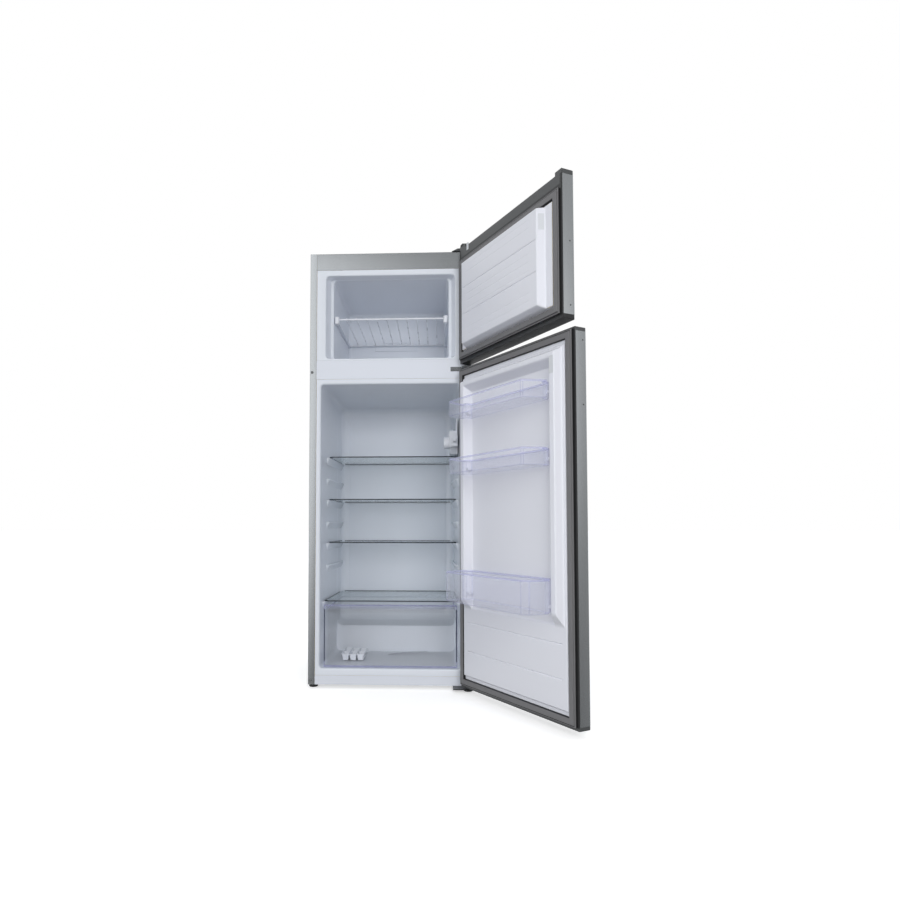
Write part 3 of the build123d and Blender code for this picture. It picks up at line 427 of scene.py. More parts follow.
# A CAD slot takes the material of its name, but for the two nodes below.  The CAD file's own
# materials hold the bare names, so these may carry a number after a dot.
finish_of_slot = {
    made.name.partition(".")[0]: made
    for made in (silver_paint, door_paint, white_paint, galvanised, foam, liner_white,
                 white_plastic, hinge_steel, dark_plastic, plug_grey, black_plastic,
                 black_enamel, rubber, gasket_grey, shelf_glass, clear_plastic,
                 lamp_diffuser, white_wire)
}
# The freezer door's bottom cap is the caps' dark plastic made blacker: its own colour plus
# painted shade on its underside.
finish_of_node = {"freezer_door_bottom_cap": black_plastic, "bottom_hinge": black_enamel}
edge_radius = {      # millimetres, for the CAD nodes that show
    "top_hinge_cover": 2.5, "thermostat_housing": 1.2, "lamp_cover": 1.0,
    "freezer_door_top_cap": 1.0, "freezer_door_bottom_cap": 1.0,
    "fridge_door_top_cap": 1.0, "fridge_door_bottom_cap": 1.0,
    "relay_cover": 1.5, "evaporation_tray": 0.8, "ice_tray": 1.0, "ice_scraper": 1.0,
    "front_foot_left": 0.8, "front_foot_right": 0.8, "rear_rollers": 1.2,
    "light_switch": 0.8, "freezer_vent": 0.8,
    "middle_hinge": 0.7, "bottom_hinge": 0.7, "top_hinge": 0.7, "hinge_screws": 0.5,
    "hole_plugs": 0.5, "condenser_brackets": 1.0, "cord_gland": 0.7,
    "divider_rail": 0.4, "bottom_rail": 0.4,
}


def soften(node, radius):
    """Round the edges of a CAD node, once its flat faces are whole."""
    weld = node.modifiers.new("joined_faces", "WELD")
    weld.merge_threshold = 0.00001
    flat = node.modifiers.new("whole_faces", "DECIMATE")
    flat.decimate_type = "DISSOLVE"
    flat.angle_limit = math.radians(1.0)
    bevel = node.modifiers.new("rounded_edges", "BEVEL")
    bevel.width = radius * MM
    bevel.segments = 2
    bevel.limit_method = "ANGLE"
    bevel.angle_limit = math.radians(30.0)
    bevel.harden_normals = False


def finish_cad_nodes():
    """Give every CAD node its slot's material, and round the edges of those that show."""
    for part in frame["record"]["subparts"]:
        node = nodes[part["node"]]
        for slot in node.material_slots:
            slot.material = finish_of_node.get(
                part["node"], finish_of_slot[part["material_slot"]])
        if part["node"] in edge_radius:
            soften(node, edge_radius[part["node"]])


finish_cad_nodes()

# ------------------------------ cabinet liners
liner_wall = 2.5
liner_depth = 400.0
# half width, floor and ceiling of the fridge compartment, at its mouth and at its full depth
fridge_mouth = (231.7, 64.5, 1003.5)
fridge_end = (217.3, 67.0, 985.0)


def tub_loop(half, low, high, radius, y):
    return in_front(rounded(rectangle(-half, half, low, high), radius, 6), y)


def quarter(steps):
    """Angles of a quarter turn, both ends included."""
    return [math.pi / 2 * step / steps for step in range(steps + 1)]


def fridge_liner():
    """One formed sheet: front frame, walls, machine hump and back wall."""
    limits = Limits("fridge_liner")
    front, back = limits.y0, limits.y1 - liner_wall
    mouth_half, mouth_low, mouth_high = fridge_mouth
    back_half, back_low, back_high = fridge_end
    mouth_round, mouth_radius, back_radius = 6.0, 10.0, 26.0
    hump_foot, hump_top, hump_end = 300.0, 308.0, 410.0
    hump_low, hump_high = 158.0, 176.0

    def along(y, start, end):
        return start + (end - start) * y / liner_depth

    def floor_height(y):
        plain = along(y, mouth_low, back_low)
        if y < hump_foot:
            return plain
        if y < hump_top:
            return plain + (hump_low - plain) * (y - hump_foot) / (hump_top - hump_foot)
        return hump_low + (hump_high - hump_low) * (y - hump_top) / (hump_end - hump_top)

    def eased_floor(y):
        samples = [floor_height(y + shift) for shift in (-4.0, -2.0, 0.0, 2.0, 4.0)]
        return sum(samples) / len(samples)

    shape = Shape()
    loops = []
    for y in (front + liner_wall, front):
        loops.append(tub_loop(-limits.x0, limits.z0, limits.z1, 1.0, y))
    for angle in quarter(5):
        grow = mouth_round * (1 - math.sin(angle))
        y = front + mouth_round * (1 - math.cos(angle))
        loops.append(tub_loop(mouth_half + grow, mouth_low - grow, mouth_high + grow,
                              mouth_radius + grow, y))
    depths = [30.0, 80.0, 150.0, 220.0, 280.0] + [294.0 + 1.5 * i for i in range(14)]
    depths += [330.0, 350.0]
    for y in depths:
        radius = along(y, mouth_radius, back_radius)
        loops.append(tub_loop(along(y, mouth_half, back_half), eased_floor(y),
                              along(y, mouth_high, back_high), radius, y))
    start = back - back_radius
    for angle in quarter(6):
        y = start + back_radius * math.sin(angle)
        shrink = back_radius * (1 - math.cos(angle))
        loops.append(tub_loop(along(y, mouth_half, back_half) - shrink,
                              floor_height(y) + shrink,
                              along(y, mouth_high, back_high) - shrink,
                              back_radius, y))
    for step, forward in ((3.0, 0.0), (4.5, 0.4), (6.0, 1.2), (8.0, 1.4)):
        shrink = back_radius + step
        loops.append(tub_loop(back_half - shrink, floor_height(back) + shrink,
                              back_high - shrink, back_radius - 4, back - forward))
    shape.loft(loops, caps=(False, True))
    piece(shape, "fridge_liner_form", "cabinet", [liner_white], ["fridge_liner"])


def wall_ledges():
    """Shelf supports formed in the fridge's side walls."""
    levels = (769.0, 695.0, 621.0, 546.0, 471.5, 397.0, 277.0)
    cover_level = levels[-1]
    reach, drop, edge, play = 9.0, 26.0, 4.8, 0.2
    taper = (fridge_mouth[0] - fridge_end[0]) / liner_depth
    shape = Shape()
    for level in levels:
        start = 46.0 if level == cover_level else 108.0
        ends = [(start - 3, 0.02), (start - 1.5, 0.55), (start + 1, 0.85), (start + 5, 1.0),
                (384.0, 1.0), (389.0, 0.85), (392.0, 0.1)]
        for side in (-1, 1):
            loops = []
            for y, share in ends:
                wall = fridge_mouth[0] - taper * y + 1.0
                out = (reach + 1.0) * share
                low = level - play - edge - (drop - edge) * share
                outline = [(wall, low), (wall - out * 0.93, level - play - edge),
                           (wall - out, level - 1.8 - edge * 0.5), (wall - out, level - 1.4),
                           (wall - out + 1.2 * share, level - play), (wall, level - play)]
                loops.append(in_front(mirrored(outline, side), y))
            shape.loft(loops)
    piece(shape, "fridge_wall_ledges", "cabinet", [liner_white], ["shelf_ledges"])


def freezer_liner():
    """One formed sheet: front frame, recess, step and freezer cavity."""
    limits = Limits("freezer_liner")
    front, back = limits.y0, limits.y1 - liner_wall
    shape = Shape()
    loops = []
    for y in (front + liner_wall, front):
        loops.append(tub_loop(limits.x1, limits.z0, limits.z1, 1.0, y))
    # half width, floor, ceiling and corner radius where each stretch starts and ends
    recess = [(216.0, 1091.0, 1372.0, 12.0), (206.0, 1095.0, 1371.0, 10.0)]
    cavity = [(195.5, 1097.0, 1370.0, 12.0), (193.0, 1099.0, 1369.0, 14.0)]
    step_y, step_round, mouth_round = 37.0, 3.0, 4.0
    half, low, high, radius = recess[0]
    for angle in quarter(4):
        grow = mouth_round * (1 - math.sin(angle))
        loops.append(tub_loop(half + grow, low - grow, high + grow, radius + grow,
                              front + mouth_round * (1 - math.cos(angle))))
    half, low, high, radius = recess[1]
    for angle in quarter(3):
        shrink = step_round * (1 - math.cos(angle))
        loops.append(tub_loop(half - shrink, low + shrink * 0.3, high - shrink * 0.2, radius,
                              step_y - step_round + step_round * math.sin(angle)))
    half, low, high, radius = cavity[0]
    for angle in quarter(4):
        grow = mouth_round * (1 - math.sin(angle))
        loops.append(tub_loop(half + grow, low - grow * 0.3, high + grow * 0.2, radius,
                              step_y + mouth_round * (1 - math.cos(angle))))
    half, low, high, radius = cavity[1]
    for angle in quarter(5):
        shrink = radius * (1 - math.cos(angle))
        loops.append(tub_loop(half - shrink, low + shrink, high - shrink, radius,
                              back - radius + radius * math.sin(angle)))
    shape.loft(loops, caps=(False, True))
    rib_top, rib_front, rib_back = 1235.8, 64.0, 391.0
    rib = rounded(rectangle(184.5, 196.5, rib_top - 4, rib_top), 1.2, 2)
    for side in (-1, 1):
        shape.prism(mirrored(rib, side), rib_front, rib_back, in_front)
    piece(shape, "freezer_liner_form", "cabinet", [liner_white], ["freezer_liner"])


fridge_liner()
wall_ledges()
freezer_liner()

# ------------------------------ formed door liners


def eased(t, blend=0.22):
    """A ramp from 0 to 1 with a small round at both ends."""
    if t <= -blend:
        return 0.0
    if t < blend:
        return (t + blend) ** 2 / (4 * blend)
    if t <= 1 - blend:
        return t
    if t < 1 + blend:
        return 1 - (1 + blend - t) ** 2 / (4 * blend)
    return 1.0


def soft_min(a, b, reach):
    """The lesser of two values, rounded where they are close."""
    share = min(max(0.5 + 0.5 * (b - a) / reach, 0.0), 1.0)
    return b + (a - b) * share - reach * share * (1 - share)


def groove(distance, half_width):
    """Depth share of a rounded groove."""
    t = abs(distance) / half_width
    return 0.0 if t >= 1 else (1 + math.cos(math.pi * t)) / 2


def grid_lines(spans, coarse):
    """Grid positions: each span is (start, end, step), and gaps between them are coarse."""
    marks = set()
    for start, end, step in spans:
        count = max(int(round((end - start) / step)), 1)
        marks.update(round(start + (end - start) * i / count, 4) for i in range(count + 1))
    marks = sorted(marks)
    lines = []
    for a, b in zip(marks, marks[1:]):
        count = max(int(math.ceil((b - a) / coarse)), 1)
        lines += [a + (b - a) * i / count for i in range(count)]
    return lines + [marks[-1]]


def formed_panel(name, body, xs, zs, height, back, stands_for):
    """A vacuum-formed sheet raised to height(x, z), closed with a flat back."""
    shape = Shape()
    for z in zs:
        for x in xs:
            shape.points.append((x, height(x, z), z))
    wide, tall = len(xs), len(zs)
    for row in range(tall - 1):
        for i in range(wide - 1):
            a = row * wide + i
            shape.face((a, a + 1, a + wide + 1, a + wide))
    rim = [(i, 0) for i in range(wide)] + [(wide - 1, j) for j in range(1, tall)]
    rim += [(i, tall - 1) for i in range(wide - 2, -1, -1)]
    rim += [(0, j) for j in range(tall - 2, 0, -1)]
    first = len(shape.points)
    for i, j in rim:
        shape.points.append((xs[i], back, zs[j]))
    for k, (i, j) in enumerate(rim):
        n = (k + 1) % len(rim)
        a, b = j * wide + i, rim[n][1] * wide + rim[n][0]
        shape.face((a, b, first + n, first + k))
    shape.face(range(first, first + len(rim)))
    piece(shape, name, body, [door_liner_white], stands_for, sharp=50.0)


def freezer_door_liner():
    limits = Limits("freezer_door_liner")
    gasket = Limits("freezer_door_gasket")
    rim, face = gasket.y0, limits.y1
    plinth_half, plinth_low, plinth_high, plinth_rise = 242.0, 1097.0, 1375.0, 8.0
    plug_half, plug_low, plug_high, draft = 213.0, 1098.5, 1369.0, 9.5
    grooves = (1284.5, 1199.0)
    fine = (1350.0, 1328.0, 1258.0, 1236.0, 1212.0, 1151.0, 1130.0)
    plug_rise = face - rim - plinth_rise

    def height(x, z):
        inward = min(plinth_half - abs(x), z - plinth_low, plinth_high - z)
        y = rim + plinth_rise * eased(inward / 3.0, 0.5)
        sides = soft_min((plug_half - abs(x)) / draft, (z - plug_low) / draft, 0.5)
        rise = eased(min(sides, (plug_high - z) / 2.0))
        y += plug_rise * rise
        if rise > 0.98:
            ends = eased((200.0 - abs(x)) / 4.0)
            for line in grooves:
                y -= 2.0 * groove(z - line, 2.6) * ends
            short = eased((172.0 - abs(x)) / 8.0)
            for line in fine:
                y -= 0.7 * groove(z - line, 2.2) * short
        return y

    xs = grid_lines(
        [(gasket.x0 + 3.0, -239.0, 1.0), (-216.0, -190.0, 1.0), (-176.0, -164.0, 4.0),
         (164.0, 176.0, 4.0), (190.0, 216.0, 1.0), (239.0, gasket.x1 - 3.0, 1.0)], 24.0)
    spans = [(gasket.z0 + 3.0, 1118.0, 1.0), (1364.0, gasket.z1 - 3.0, 0.7)]
    for line in grooves + fine:
        spans.append((line - 3.0, line + 3.0, 0.75))
    zs = grid_lines(spans, 16.0)
    formed_panel("freezer_door_liner_form", "freezer_door", xs, zs, height, limits.y0,
                 ["freezer_door_liner"])


def fridge_door_liner():
    limits = Limits("fridge_door_liner")
    gasket = Limits("fridge_door_gasket")
    rim = gasket.y0
    plinth_half, plinth_low, plinth_high, plinth_rise = 242.0, 59.0, 1005.0, 8.0
    ridge_rise = 20.3 - rim - plinth_rise
    foot_low, foot_high = 274.0, 303.0
    lines = (228.0, 138.0)

    def height(x, z):
        inward = min(plinth_half - abs(x), z - plinth_low, plinth_high - z)
        y = rim + plinth_rise * eased(inward / 3.0, 0.5)
        outside = soft_min((230.0 - abs(x)) / 7.0, (997.0 - z) / 10.0, 0.6)
        inside = max((abs(x) - 194.5) / 9.5, (z - 957.0) / 16.0)
        foot = (z - foot_low) / (foot_high - foot_low)
        rise = min(eased(outside), eased(inside), eased(foot))
        y += ridge_rise * rise
        recess = min((194.0 - abs(x)) / 3.0, (z - foot_low) / 3.0, (957.0 - z) / 3.0)
        y -= 4.0 * eased(recess, 0.5)
        ends = eased((224.0 - abs(x)) / 6.0)
        for line in lines:
            y -= 2.0 * groove(z - line, 2.6) * ends
        return y

    xs = grid_lines(
        [(gasket.x0 + 3.0, -237.0, 1.0), (-233.0, -188.0, 1.2), (188.0, 233.0, 1.2),
         (237.0, gasket.x1 - 3.0, 1.0)], 26.0)
    spans = [(gasket.z0 + 3.0, 64.0, 1.0), (268.0, 310.0, 1.6), (950.0, 1000.0, 1.4),
             (1001.0, gasket.z1 - 3.0, 1.0)]
    for line in lines:
        spans.append((line - 3.2, line + 3.2, 0.8))
    zs = grid_lines(spans, 30.0)
    formed_panel("fridge_door_liner_form", "fridge_door", xs, zs, height, limits.y0,
                 ["fridge_door_liner"])
    lugs = Shape()
    for bin_node in ("door_bin_top", "door_bin_middle", "bottle_bin"):
        low = Limits(bin_node).z0 + 14.0
        for side in (-1, 1):
            outline = rounded(rectangle(186.0, 201.0, low, low + 8.0), 2.0, 3)
            lugs.prism(mirrored(outline, side), 0.0, 14.0, in_front)
    piece(lugs, "fridge_door_bin_lugs", "fridge_door", [door_liner_white])


freezer_door_liner()
fridge_door_liner()


# ------------------------------ door gaskets
def door_gasket(node, body):
    """Magnetic seal: a folded profile carried round the door, mitred at the corners."""
    limits = Limits(node)
    base, face = limits.y0, limits.y1
    liner_edge = 242.3     # the door liner's raised plinth begins just inside it
    wide = limits.x1 - liner_edge
    profile = [
        (0.0, base), (0.0, base + 4.2), (0.7, base + 6.2), (2.9, base + 6.6),
        (3.5, base + 4.6), (4.2, base + 4.6), (4.8, face - 0.9), (5.8, face),
        (wide - 2.4, face), (wide - 1.4, face - 0.8), (wide - 0.8, base + 4.0),
        (wide, base + 3.0), (wide, base),
    ]
    # The fold walls below are coloured near-black: painted shade inside the folds.
    dark = {0, 3, 4, 9, 10, 11}     # the walls that lie in the folds
    shape = Shape()
    loops = []
    for inward, y in profile:
        outline = rectangle(limits.x0 + inward, limits.x1 - inward,
                            limits.z0 + inward, limits.z1 - inward)
        loops.append(in_front(outline, y))
    for index, (a, b) in enumerate(zip(loops, loops[1:] + loops[:1])):
        shape.loft([a, b], caps=(False, False), finish=1 if index in dark else 0)
    piece(shape, node + "_folds", body, [gasket_grey, gasket_painted_shade], [node],
          sharp=40.0)


def door_painted_shadow_frame(node, body, above):
    """A black frame under the gasket, reaching out to the sheet's edge: painted shadow of the
    gap between gasket and sheet.
    """
    limits = Limits(node)
    edge, under, thick = 5.9, 4.0, 1.4
    base = limits.y0 - 1.9
    outer = rectangle(limits.x0 - edge, limits.x1 + edge, limits.z0 - 1.0, limits.z1 + above)
    inner = rectangle(limits.x0 + under, limits.x1 - under, limits.z0 + under,
                      limits.z1 - under)
    loops = [in_front(outer, base), in_front(outer, base + thick - 0.4),
             in_front(inset(outer, 0.5), base + thick), in_front(inner, base + thick),
             in_front(inner, base)]
    shape = Shape().loft(loops + loops[:1], caps=(False, False))
    piece(shape, node + "_painted_shadow_frame", body, [black_plastic])


door_gasket("freezer_door_gasket", "freezer_door")
door_gasket("fridge_door_gasket", "fridge_door")
# The black frames are painted shadow; the freezer's reaches 12 mm above its gasket, painting the
# shadow of the gap over the door's top.
door_painted_shadow_frame("freezer_door_gasket", "freezer_door", 12.0)
door_painted_shadow_frame("fridge_door_gasket", "fridge_door", 1.5)


# ------------------------------ glass shelves
def glass_plate(node, body):
    """Toughened glass: clear faces, and a dark polished edge all round."""
    limits = Limits(node)
    front_clip, back_draw = 13.0, 7.0
    outline = [
        (limits.x0 + front_clip, limits.y0), (limits.x1 - front_clip, limits.y0),
        (limits.x1, limits.y0 + front_clip), (limits.x1 - back_draw, limits.y1),
        (limits.x0 + back_draw, limits.y1), (limits.x0, limits.y0 + front_clip),
    ]
    shape = Shape()
    low, high = limits.z0, limits.z1
    soft = 0.7
    edge = rounded(outline, 2.0, 3)
    face = rounded(inset(outline, soft), 2.0, 3)
    shape.loft([in_plan(face, low), in_plan(edge, low + soft), in_plan(edge, high - soft),
                in_plan(face, high)], finish=1, ends=0)
    piece(shape, node + "_plate", body, [shelf_glass, glass_edge], [node])


for number in (1, 2, 3):
    glass_plate(f"glass_shelf_{number}", f"shelf_{number}")
glass_plate("crisper_cover", "cabinet")


# ------------------------------ door bins
def door_bin(node, body, front_half, corner):
    """A clear tray with slanting ends, a thick rim and a rounded floor."""
    limits = Limits(node)
    back, front, low, high = limits.y0, limits.y1, limits.z0, limits.z1
    neck, shoulder, wing = 184.0, 22.6, 204.0
    outline = [
        (-neck, back), (neck, back), (neck, shoulder), (wing, shoulder),
        (front_half, front - corner), (front_half - corner * 1.3, front),
        (-front_half + corner * 1.3, front), (-front_half, front - corner),
        (-wing, shoulder), (-neck, shoulder),
    ]
    radii = [3, 3, 1.5, 3, 6, 6, 6, 6, 3, 1.5]

    def ring(distance, z):
        return in_plan(rounded(inset(outline, distance), radii, 3), z)

    rim = 3.0
    loops = [
        ring(3.5, low), ring(1.2, low + 0.8), ring(0.3, low + 3.0), ring(0.0, high - 5.0),
        ring(0.0, high - 0.7), ring(0.7, high), ring(rim - 0.6, high), ring(rim, high - 0.7),
        ring(rim, high - 4.0), ring(0.3, high - 5.5),
    ]
    corner_steps = 4

    def finish(row, column):
        corner_face = column % corner_steps < corner_steps - 1
        return 0 if row == 2 and not corner_face else 1

    shape = Shape().loft(loops, caps=(True, False), finish=finish, ends=0)
    piece(shape, node + "_moulding", body, [clear_plastic, clear_edge], [node])


door_bin("door_bin_top", "top_bin", 180.0, 4.0)
door_bin("door_bin_middle", "middle_bin", 180.0, 4.0)
door_bin("bottle_bin", "bottle_bin", 199.0, 14.0)


# ------------------------------ crisper drawer
def crisper_drawer():
    """A clear stepped tub behind a framed front panel with a grip along its top."""
    limits = Limits("crisper_drawer")
    half, top = limits.x1 - 10.5, limits.z1 - 8.0
    panel_back, step_y, back = limits.y0 + 15.0, 290.0, limits.y1
    low, step_low, wall = limits.z0 + 0.5, 182.0, 2.4
    corner, bevel = 9.0, 11.0

    def ring(shrink, end, z, radius=corner):
        return in_plan(rounded(rectangle(shrink - half, half - shrink, panel_back + shrink * 0.3,
                                         end - shrink), radius, 4), z)

    loops = [
        ring(bevel, step_y, low), ring(bevel * 0.55, step_y, low + 1.6),
        ring(bevel * 0.2, step_y, low + 5.0), ring(0.0, step_y, low + bevel),
        ring(0.0, step_y, step_low - 4.0), ring(0.0, step_y + 3.0, step_low - 0.6),
        ring(0.0, back - 4.0, step_low), ring(0.0, back, step_low + 4.0),
        ring(0.0, back, top - 1.0), ring(0.8, back, top), ring(wall - 0.4, back, top),
        ring(wall, back, top - 1.0), ring(wall, back, top - 5.0), ring(0.4, back, top - 6.0),
    ]
    rim_rows = (8, 9, 10, 11, 12)
    tub = Shape().loft(loops, caps=(True, False), ends=0,
                       finish=lambda row, column: 1 if row in rim_rows else 0)
    for side in (-1, 1):
        runner = rounded(rectangle(half - 0.4, half + 2.8, 255.0, 258.0), 0.6, 2)
        tub.prism(mirrored(runner, side), panel_back, back - 2.0, in_front, finish=1)
    piece(tub, "crisper_drawer_tub", "crisper", [drawer_plastic, clear_edge],
          ["crisper_drawer"])

    panel = Shape()
    wide, base, high = limits.x1, limits.z0, limits.z1
    face = rounded(rectangle(-wide, wide, base, high), 5.0, 4)
    front = panel_back - 4.0
    rim = 4.0
    loops = [in_front(inset(face, rim), panel_back), in_front(face, panel_back),
             in_front(face, front + 0.8), in_front(inset(face, 0.8), front),
             in_front(inset(face, rim), front), in_front(inset(face, rim + 0.8), front + 1.2)]
    panel.loft(loops, caps=(False, True), finish=1, ends=0)
    grip = [(front + 1.0, high - 4.0), (limits.y0 + 1.5, high - 4.6), (limits.y0, high - 3.2),
            (limits.y0 + 0.6, high - 0.8), (front + 1.0, high)]
    panel.prism(grip, 2.0 - wide, wide - 2.0, in_side, finish=1)
    lip = [(front + 1.0, base), (front - 5.4, base + 0.6), (front - 6.0, base + 2.4),
           (front - 5.0, base + 4.0), (front + 1.0, base + 4.0)]
    panel.prism(lip, 2.0 - wide, wide - 2.0, in_side, finish=1)
    band = rounded(rectangle(8.0 - wide, wide - 8.0, high - 26.0, high - 12.0), 2.0, 3)
    panel.loft([in_front(band, front + 1.2), in_front(inset(band, 0.8), front - 0.2)],
               caps=(False, True), finish=0)
    # Thin dark strips along both side edges of the front panel: painted shade at the panel's
    # corners.
    for side in (-1, 1):
        slot = rounded(rectangle(wide - 4.4, wide - 1.2, base + 18.0, high - 15.0), 1.2, 3)
        slot = mirrored(slot, side)
        panel.loft([in_front(slot, front - 0.1), in_front(slot, front - 0.35)], finish=2)
    piece(panel, "crisper_drawer_front", "crisper",
          [drawer_plastic, clear_edge, drawer_painted_shadow])


crisper_drawer()


# ------------------------------ bent sheets
def bend(before, corner, after, radius):
    return arc_corner(before, corner, after, radius, 6)


def door_sheet(node, body, dimples):
    """The door's painted sheet with rolled edges; its inner border is coloured black as painted
    shadow of the gap at the gasket.
    """
    limits = Limits(node)
    half, out, inner = limits.x1, limits.y0, limits.y1
    shadow_band, fold, thick = 2.4, 6.0, 0.8
    side = [(half - fold, inner)]
    side += bend((half - fold, inner), (half, inner), (half, inner - shadow_band), 1.0)
    side.append((half, inner - shadow_band))
    side += bend((half, inner), (half, out), (-half, out), 5.0)
    path = side + [(-x, y) for x, y in reversed(side)]
    outline = strip(path, -thick)
    shape = Shape().prism(outline, limits.z0, limits.z1)
    # Faces on the inner border take the black finish: painted shadow of the gap between sheet
    # and gasket.
    for index, face in enumerate(shape.faces):
        if min(shape.points[corner][1] for corner in face) > inner - shadow_band - 0.1:
            shape.finishes[index] = 1
    piece(shape, node + "_folded", body, [door_paint, black_plastic], [node])
    marks = Shape()
    for y, z in dimples:
        for end in (-1, 1):
            origin = (end * (half - 0.3), y, z)
            marks.turned(origin, (end, 0, 0), [(0.0, 2.2), (0.42, 2.2), (0.5, 1.9),
                                               (0.5, 1.2), (0.36, 1.0)], 20)
    piece(marks, node + "_screw_caps", body, [dark_plastic])


door_sheet("freezer_door_skin", "freezer_door", ((-36.0, 1263.5), (-36.0, 1096.0)))
door_sheet("fridge_door_skin", "fridge_door", ((-38.0, 1010.0), (-38.0, 842.5)))


def cabinet_sheets():
    """Side sheets rolled round the front edge, and a top sheet with its folded header."""
    thick = 0.8
    flange, back_flange = 22.6, 12.0
    for node, side in (("left_side_panel", -1), ("right_side_panel", 1)):
        limits = Limits(node)
        half, depth = max(-limits.x0, limits.x1), limits.y1
        path = [(half - flange, 0.0)]
        path += bend(path[0], (half, 0.0), (half, depth), 2.6)
        path += bend((half, 0.0), (half, depth), (0.0, depth), 1.6)
        path.append((half - back_flange, depth))
        shape = Shape().prism(mirrored(strip(path, thick), side), limits.z0, limits.z1)
        piece(shape, node + "_rolled", "cabinet", [silver_paint], [node])
    limits = Limits("top_panel")
    half, back, high, low = limits.x1, limits.y1, limits.z1, limits.z0
    front_half, fold = 246.8, 6.0
    shape = Shape()
    path = [(0.0, low)] + bend((0.0, low), (0.0, high), (back, high), 2.2) + [(fold, high)]
    shape.prism(strip(path, -thick), -front_half, front_half, in_side)
    sheet = [(-half, 1.0), (-front_half - 0.6, 1.0), (-front_half - 0.6, fold + 0.2),
             (front_half + 0.6, fold + 0.2), (front_half + 0.6, 1.0), (half, 1.0),
             (half, back), (-half, back)]
    shape.prism(sheet, high - thick, high - 0.05)
    piece(shape, "top_panel_folded", "cabinet", [silver_paint], ["top_panel"])


cabinet_sheets()


# ------------------------------ labels and small marks
def label(name, body, corners, finish, lift=0.25):
    """A thin plain label laid on four corners of a moulding, given in turn."""
    points = [Vector(p) for p in corners]
    normal = (points[1] - points[0]).cross(points[3] - points[0]).normalized() * lift
    middle = sum(points, Vector()) / len(points)
    top = [p + (middle - p) * 0.03 + normal for p in points]
    shape = Shape().loft([[tuple(p - normal) for p in points], [tuple(p) for p in top]])
    piece(shape, name, body, [finish])


def small_marks():
    limits = Limits("freezer_door_top_cap")
    inner, z = limits.y1, limits.z1
    # a light grey patch on the top cap's inner face, near the hinge end
    plate = [(212.0, inner, z - 27.0), (224.0, inner, z - 27.0), (224.0, inner, z - 4.0),
             (212.0, inner, z - 4.0)]
    label("freezer_cap_plate", "freezer_door", plate, sticker, 0.6)
    plug = Limits("freezer_door_liner").y1
    # plain labels, one on the plug's slanting free end and one on the ridge
    side = [(-205.8, plug - 4.5, 1353.0), (-205.8, plug - 4.5, 1310.0),
            (-212.2, plug - 19.5, 1310.0), (-212.2, plug - 19.5, 1353.0)]
    label("freezer_plug_label", "freezer_door", side, sticker)
    ridge = Limits("fridge_door_liner").y1
    flat = [(-222.0, ridge, 976.0), (-222.0, ridge, 929.0), (-205.5, ridge, 929.0),
            (-205.5, ridge, 976.0)]
    label("fridge_ridge_label", "fridge_door", flat, sticker)


small_marks()


# ------------------------------ wire shelf
def wire_shelf():
    """Coated wires welded on a thick front rod and a thinner bent frame, with end clips."""
    limits = Limits("wire_shelf")
    rod_radius, frame_radius, wire_radius = 3.0, 2.4, 1.5
    rod_half, frame_half = 183.0, 186.0
    front, level = limits.y0 + rod_radius, limits.z0 + rod_radius
    back, half = limits.y1 - frame_radius, limits.x1 - frame_radius
    shape = Shape()
    shape.tube([(-rod_half, front, level), (rod_half, front, level)], rod_radius, 14)
    rest = level + 0.5
    bent = [(-frame_half, front + 6.0, rest), (-half, back, rest), (half, back, rest),
            (frame_half, front + 6.0, rest)]
    shape.tube(path_3d(bent, 9.0), frame_radius, 12)
    pitch, count = 34.4, 10
    top = limits.z1 - wire_radius
    for index in range(count):
        x = (index - (count - 1) / 2) * pitch
        wire = [(x, front - 1.4, top - 2.4), (x, front - 0.2, top), (x, back - 1.0, top),
                (x, back + 1.2, top - 1.6)]
        shape.tube(path_3d(wire, 3.0), wire_radius, 8)
    piece(shape, "wire_shelf_rods", "freezer_shelf", [white_wire], ["wire_shelf"])

    limits = Limits("wire_shelf_clips")
    inner, outer = limits.x1 - 14.5, limits.x1
    clips = Shape()
    steps = ((0.0, 3.4), (0.8, 1.6), (2.2, 0.5), (5.0, 0.0), (16.0, 0.0), (20.0, 0.6),
             (22.0, 2.2))
    for side in (-1, 1):
        loops = []
        for deep, shrink in steps:
            outline = rectangle(inner + shrink, outer - shrink, limits.z0 + shrink,
                                limits.z1 - shrink)
            outline = rounded(outline, [5.0, 5.0, 4.0, 4.0], 4)
            loops.append(in_front(mirrored(outline, side), limits.y0 + deep))
        clips.loft(loops)
    piece(clips, "wire_shelf_end_clips", "freezer_shelf", [white_plastic],
          ["wire_shelf_clips"], sharp=60.0)


wire_shelf()


# ------------------------------ stage, light and camera
BACKDROP_REACH = 60.0    # metres


def stage_surface(name, colour, glow):
    made = bpy.data.materials.new(name)
    made.use_nodes = True
    fill(made.node_tree.nodes["Principled BSDF"], Base_Color=(*colour, 1), Roughness=0.9,
         Specular_IOR_Level=0.0, Emission_Color=(1, 1, 1, 1), Emission_Strength=glow)
    return made


def stage():
    """A pale floor inside a white dome; neither sheds light on the object."""
    floor_mesh = bpy.data.meshes.new("floor")
    reach = BACKDROP_REACH * 0.999
    corners = [(reach * x, reach * y, 0) for x, y in ((-1, -1), (1, -1), (1, 1), (-1, 1))]
    floor_mesh.from_pydata(corners, [], [(0, 1, 2, 3)])
    floor_mesh.materials.append(stage_surface("floor_white", (0.85, 0.85, 0.85), 0.5))
    dome_mesh = bpy.data.meshes.new("dome")
    made = bmesh.new()
    bmesh.ops.create_icosphere(made, subdivisions=4, radius=BACKDROP_REACH * 1.5)
    made.to_mesh(dome_mesh)
    made.free()
    dome_mesh.materials.append(stage_surface("backdrop_white", (0, 0, 0), 1.0))
    for name, mesh in (("floor", floor_mesh), ("dome", dome_mesh)):
        made = bpy.data.objects.new(name, mesh)
        scene.collection.objects.link(made)
        made.visible_diffuse = False
        made.visible_glossy = False
        made.visible_shadow = False


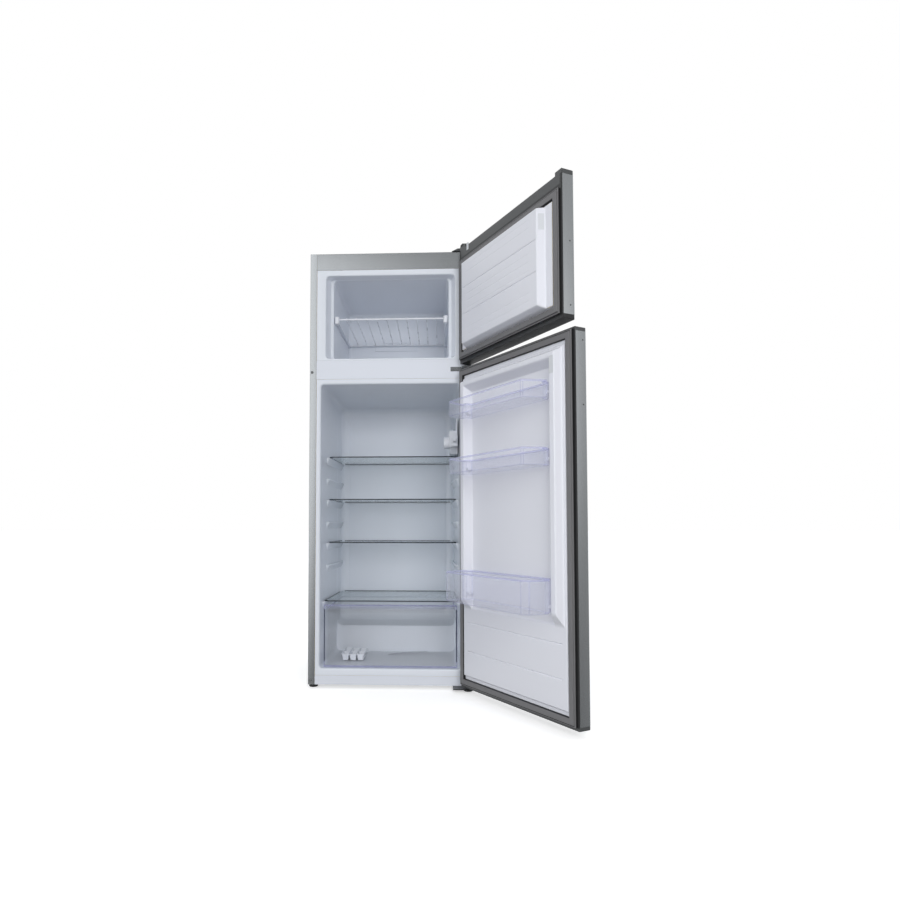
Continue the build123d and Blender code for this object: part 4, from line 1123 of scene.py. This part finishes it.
def studio_world():
    """Soft light by direction: each glow is an axis, the cosines where it starts and is
    full, and its strength at both; a negative one darkens."""
    world = bpy.data.worlds.new("studio")
    world.use_nodes = True
    tree = world.node_tree
    link = tree.links.new
    backdrop = tree.nodes["Background"]
    fill(backdrop, Color=(0.97, 0.985, 1, 1))
    direction = tree.nodes.new("ShaderNodeTexCoord").outputs["Generated"]
    total = None
    glows = (
        ((0, 0, 1), -1.0, 1.0, 0.20, 0.38),           # all round, brighter towards the top
        ((-0.62, -1, 0.3), 0.84, 0.956, 0.0, 1.25),   # softbox on the left of the camera
        ((0.88, -0.5, 0.17), 0.95, 0.995, 0.0, 0.75),   # softbox on the right
        ((1, -0.3, -0.35), 0.85, 1.0, 0.0, -0.16),    # dark corner low on the right
        ((-0.25, -1, -0.4), 0.86, 1.0, 0.0, -0.16),   # and low in front
        ((-1, 0.3, 0.2), 0.3, 0.9, 0.0, 0.25),        # fill on the left
        ((1, 0.6, 0.2), 0.3, 0.9, 0.0, 0.25),         # fill on the right
        ((0, 1, 0.2), 0.0, 0.7, 0.0, 0.45),           # fill behind
    )
    for toward, start, end, low, high in glows:
        along = tree.nodes.new("ShaderNodeVectorMath")
        along.operation = "DOT_PRODUCT"
        along.inputs[1].default_value = Vector(toward).normalized()
        link(direction, along.inputs[0])
        ramp = tree.nodes.new("ShaderNodeMapRange")
        ramp.interpolation_type = "SMOOTHSTEP"
        fill(ramp, From_Min=start, From_Max=end, To_Min=low, To_Max=high)
        link(along.outputs["Value"], ramp.inputs["Value"])
        glow = ramp.outputs["Result"]
        if total is not None:
            both = tree.nodes.new("ShaderNodeMath")
            link(total, both.inputs[0])
            link(glow, both.inputs[1])
            glow = both.outputs["Value"]
        total = glow
    link(total, backdrop.inputs["Strength"])
    scene.world = world


def softbox(name, place, target, size, power):
    """An area light that shines on the object but isn't mirrored in it."""
    light = bpy.data.lights.new(name, "AREA")
    light.shape = "RECTANGLE"
    light.size, light.size_y = size
    light.energy = power
    lamp = bpy.data.objects.new(name, light)
    lamp.location = place
    lamp.rotation_mode = "QUATERNION"
    lamp.rotation_quaternion = (Vector(target) - Vector(place)).to_track_quat("-Z", "Y")
    lamp.visible_glossy = False
    scene.collection.objects.link(lamp)


def lighting():
    studio_world()
    softbox("key", (0.88, -3.3, 1.45), (0.0, 0.0, 0.75), (1.3, 1.3), 41.0)
    softbox("low_fill", (0.15, -2.0, 0.06), (0.0, -0.6, 1.6), (1.2, 0.5), 4.0)


def camera():
    view = bpy.data.cameras.new("camera")
    view.sensor_width = 36.0
    view.lens = 26.53
    view.shift_x, view.shift_y = 0.0448, 0.0492
    view.dof.use_dof = False
    shot = bpy.data.objects.new("camera", view)
    shot.location = (0.1626, -2.185, 0.533)
    shot.rotation_euler = (math.radians(92.68), 0.0, math.radians(2.55))
    scene.collection.objects.link(shot)
    scene.camera = shot


stage()
lighting()
camera()
scene.view_settings.view_transform = "Standard"
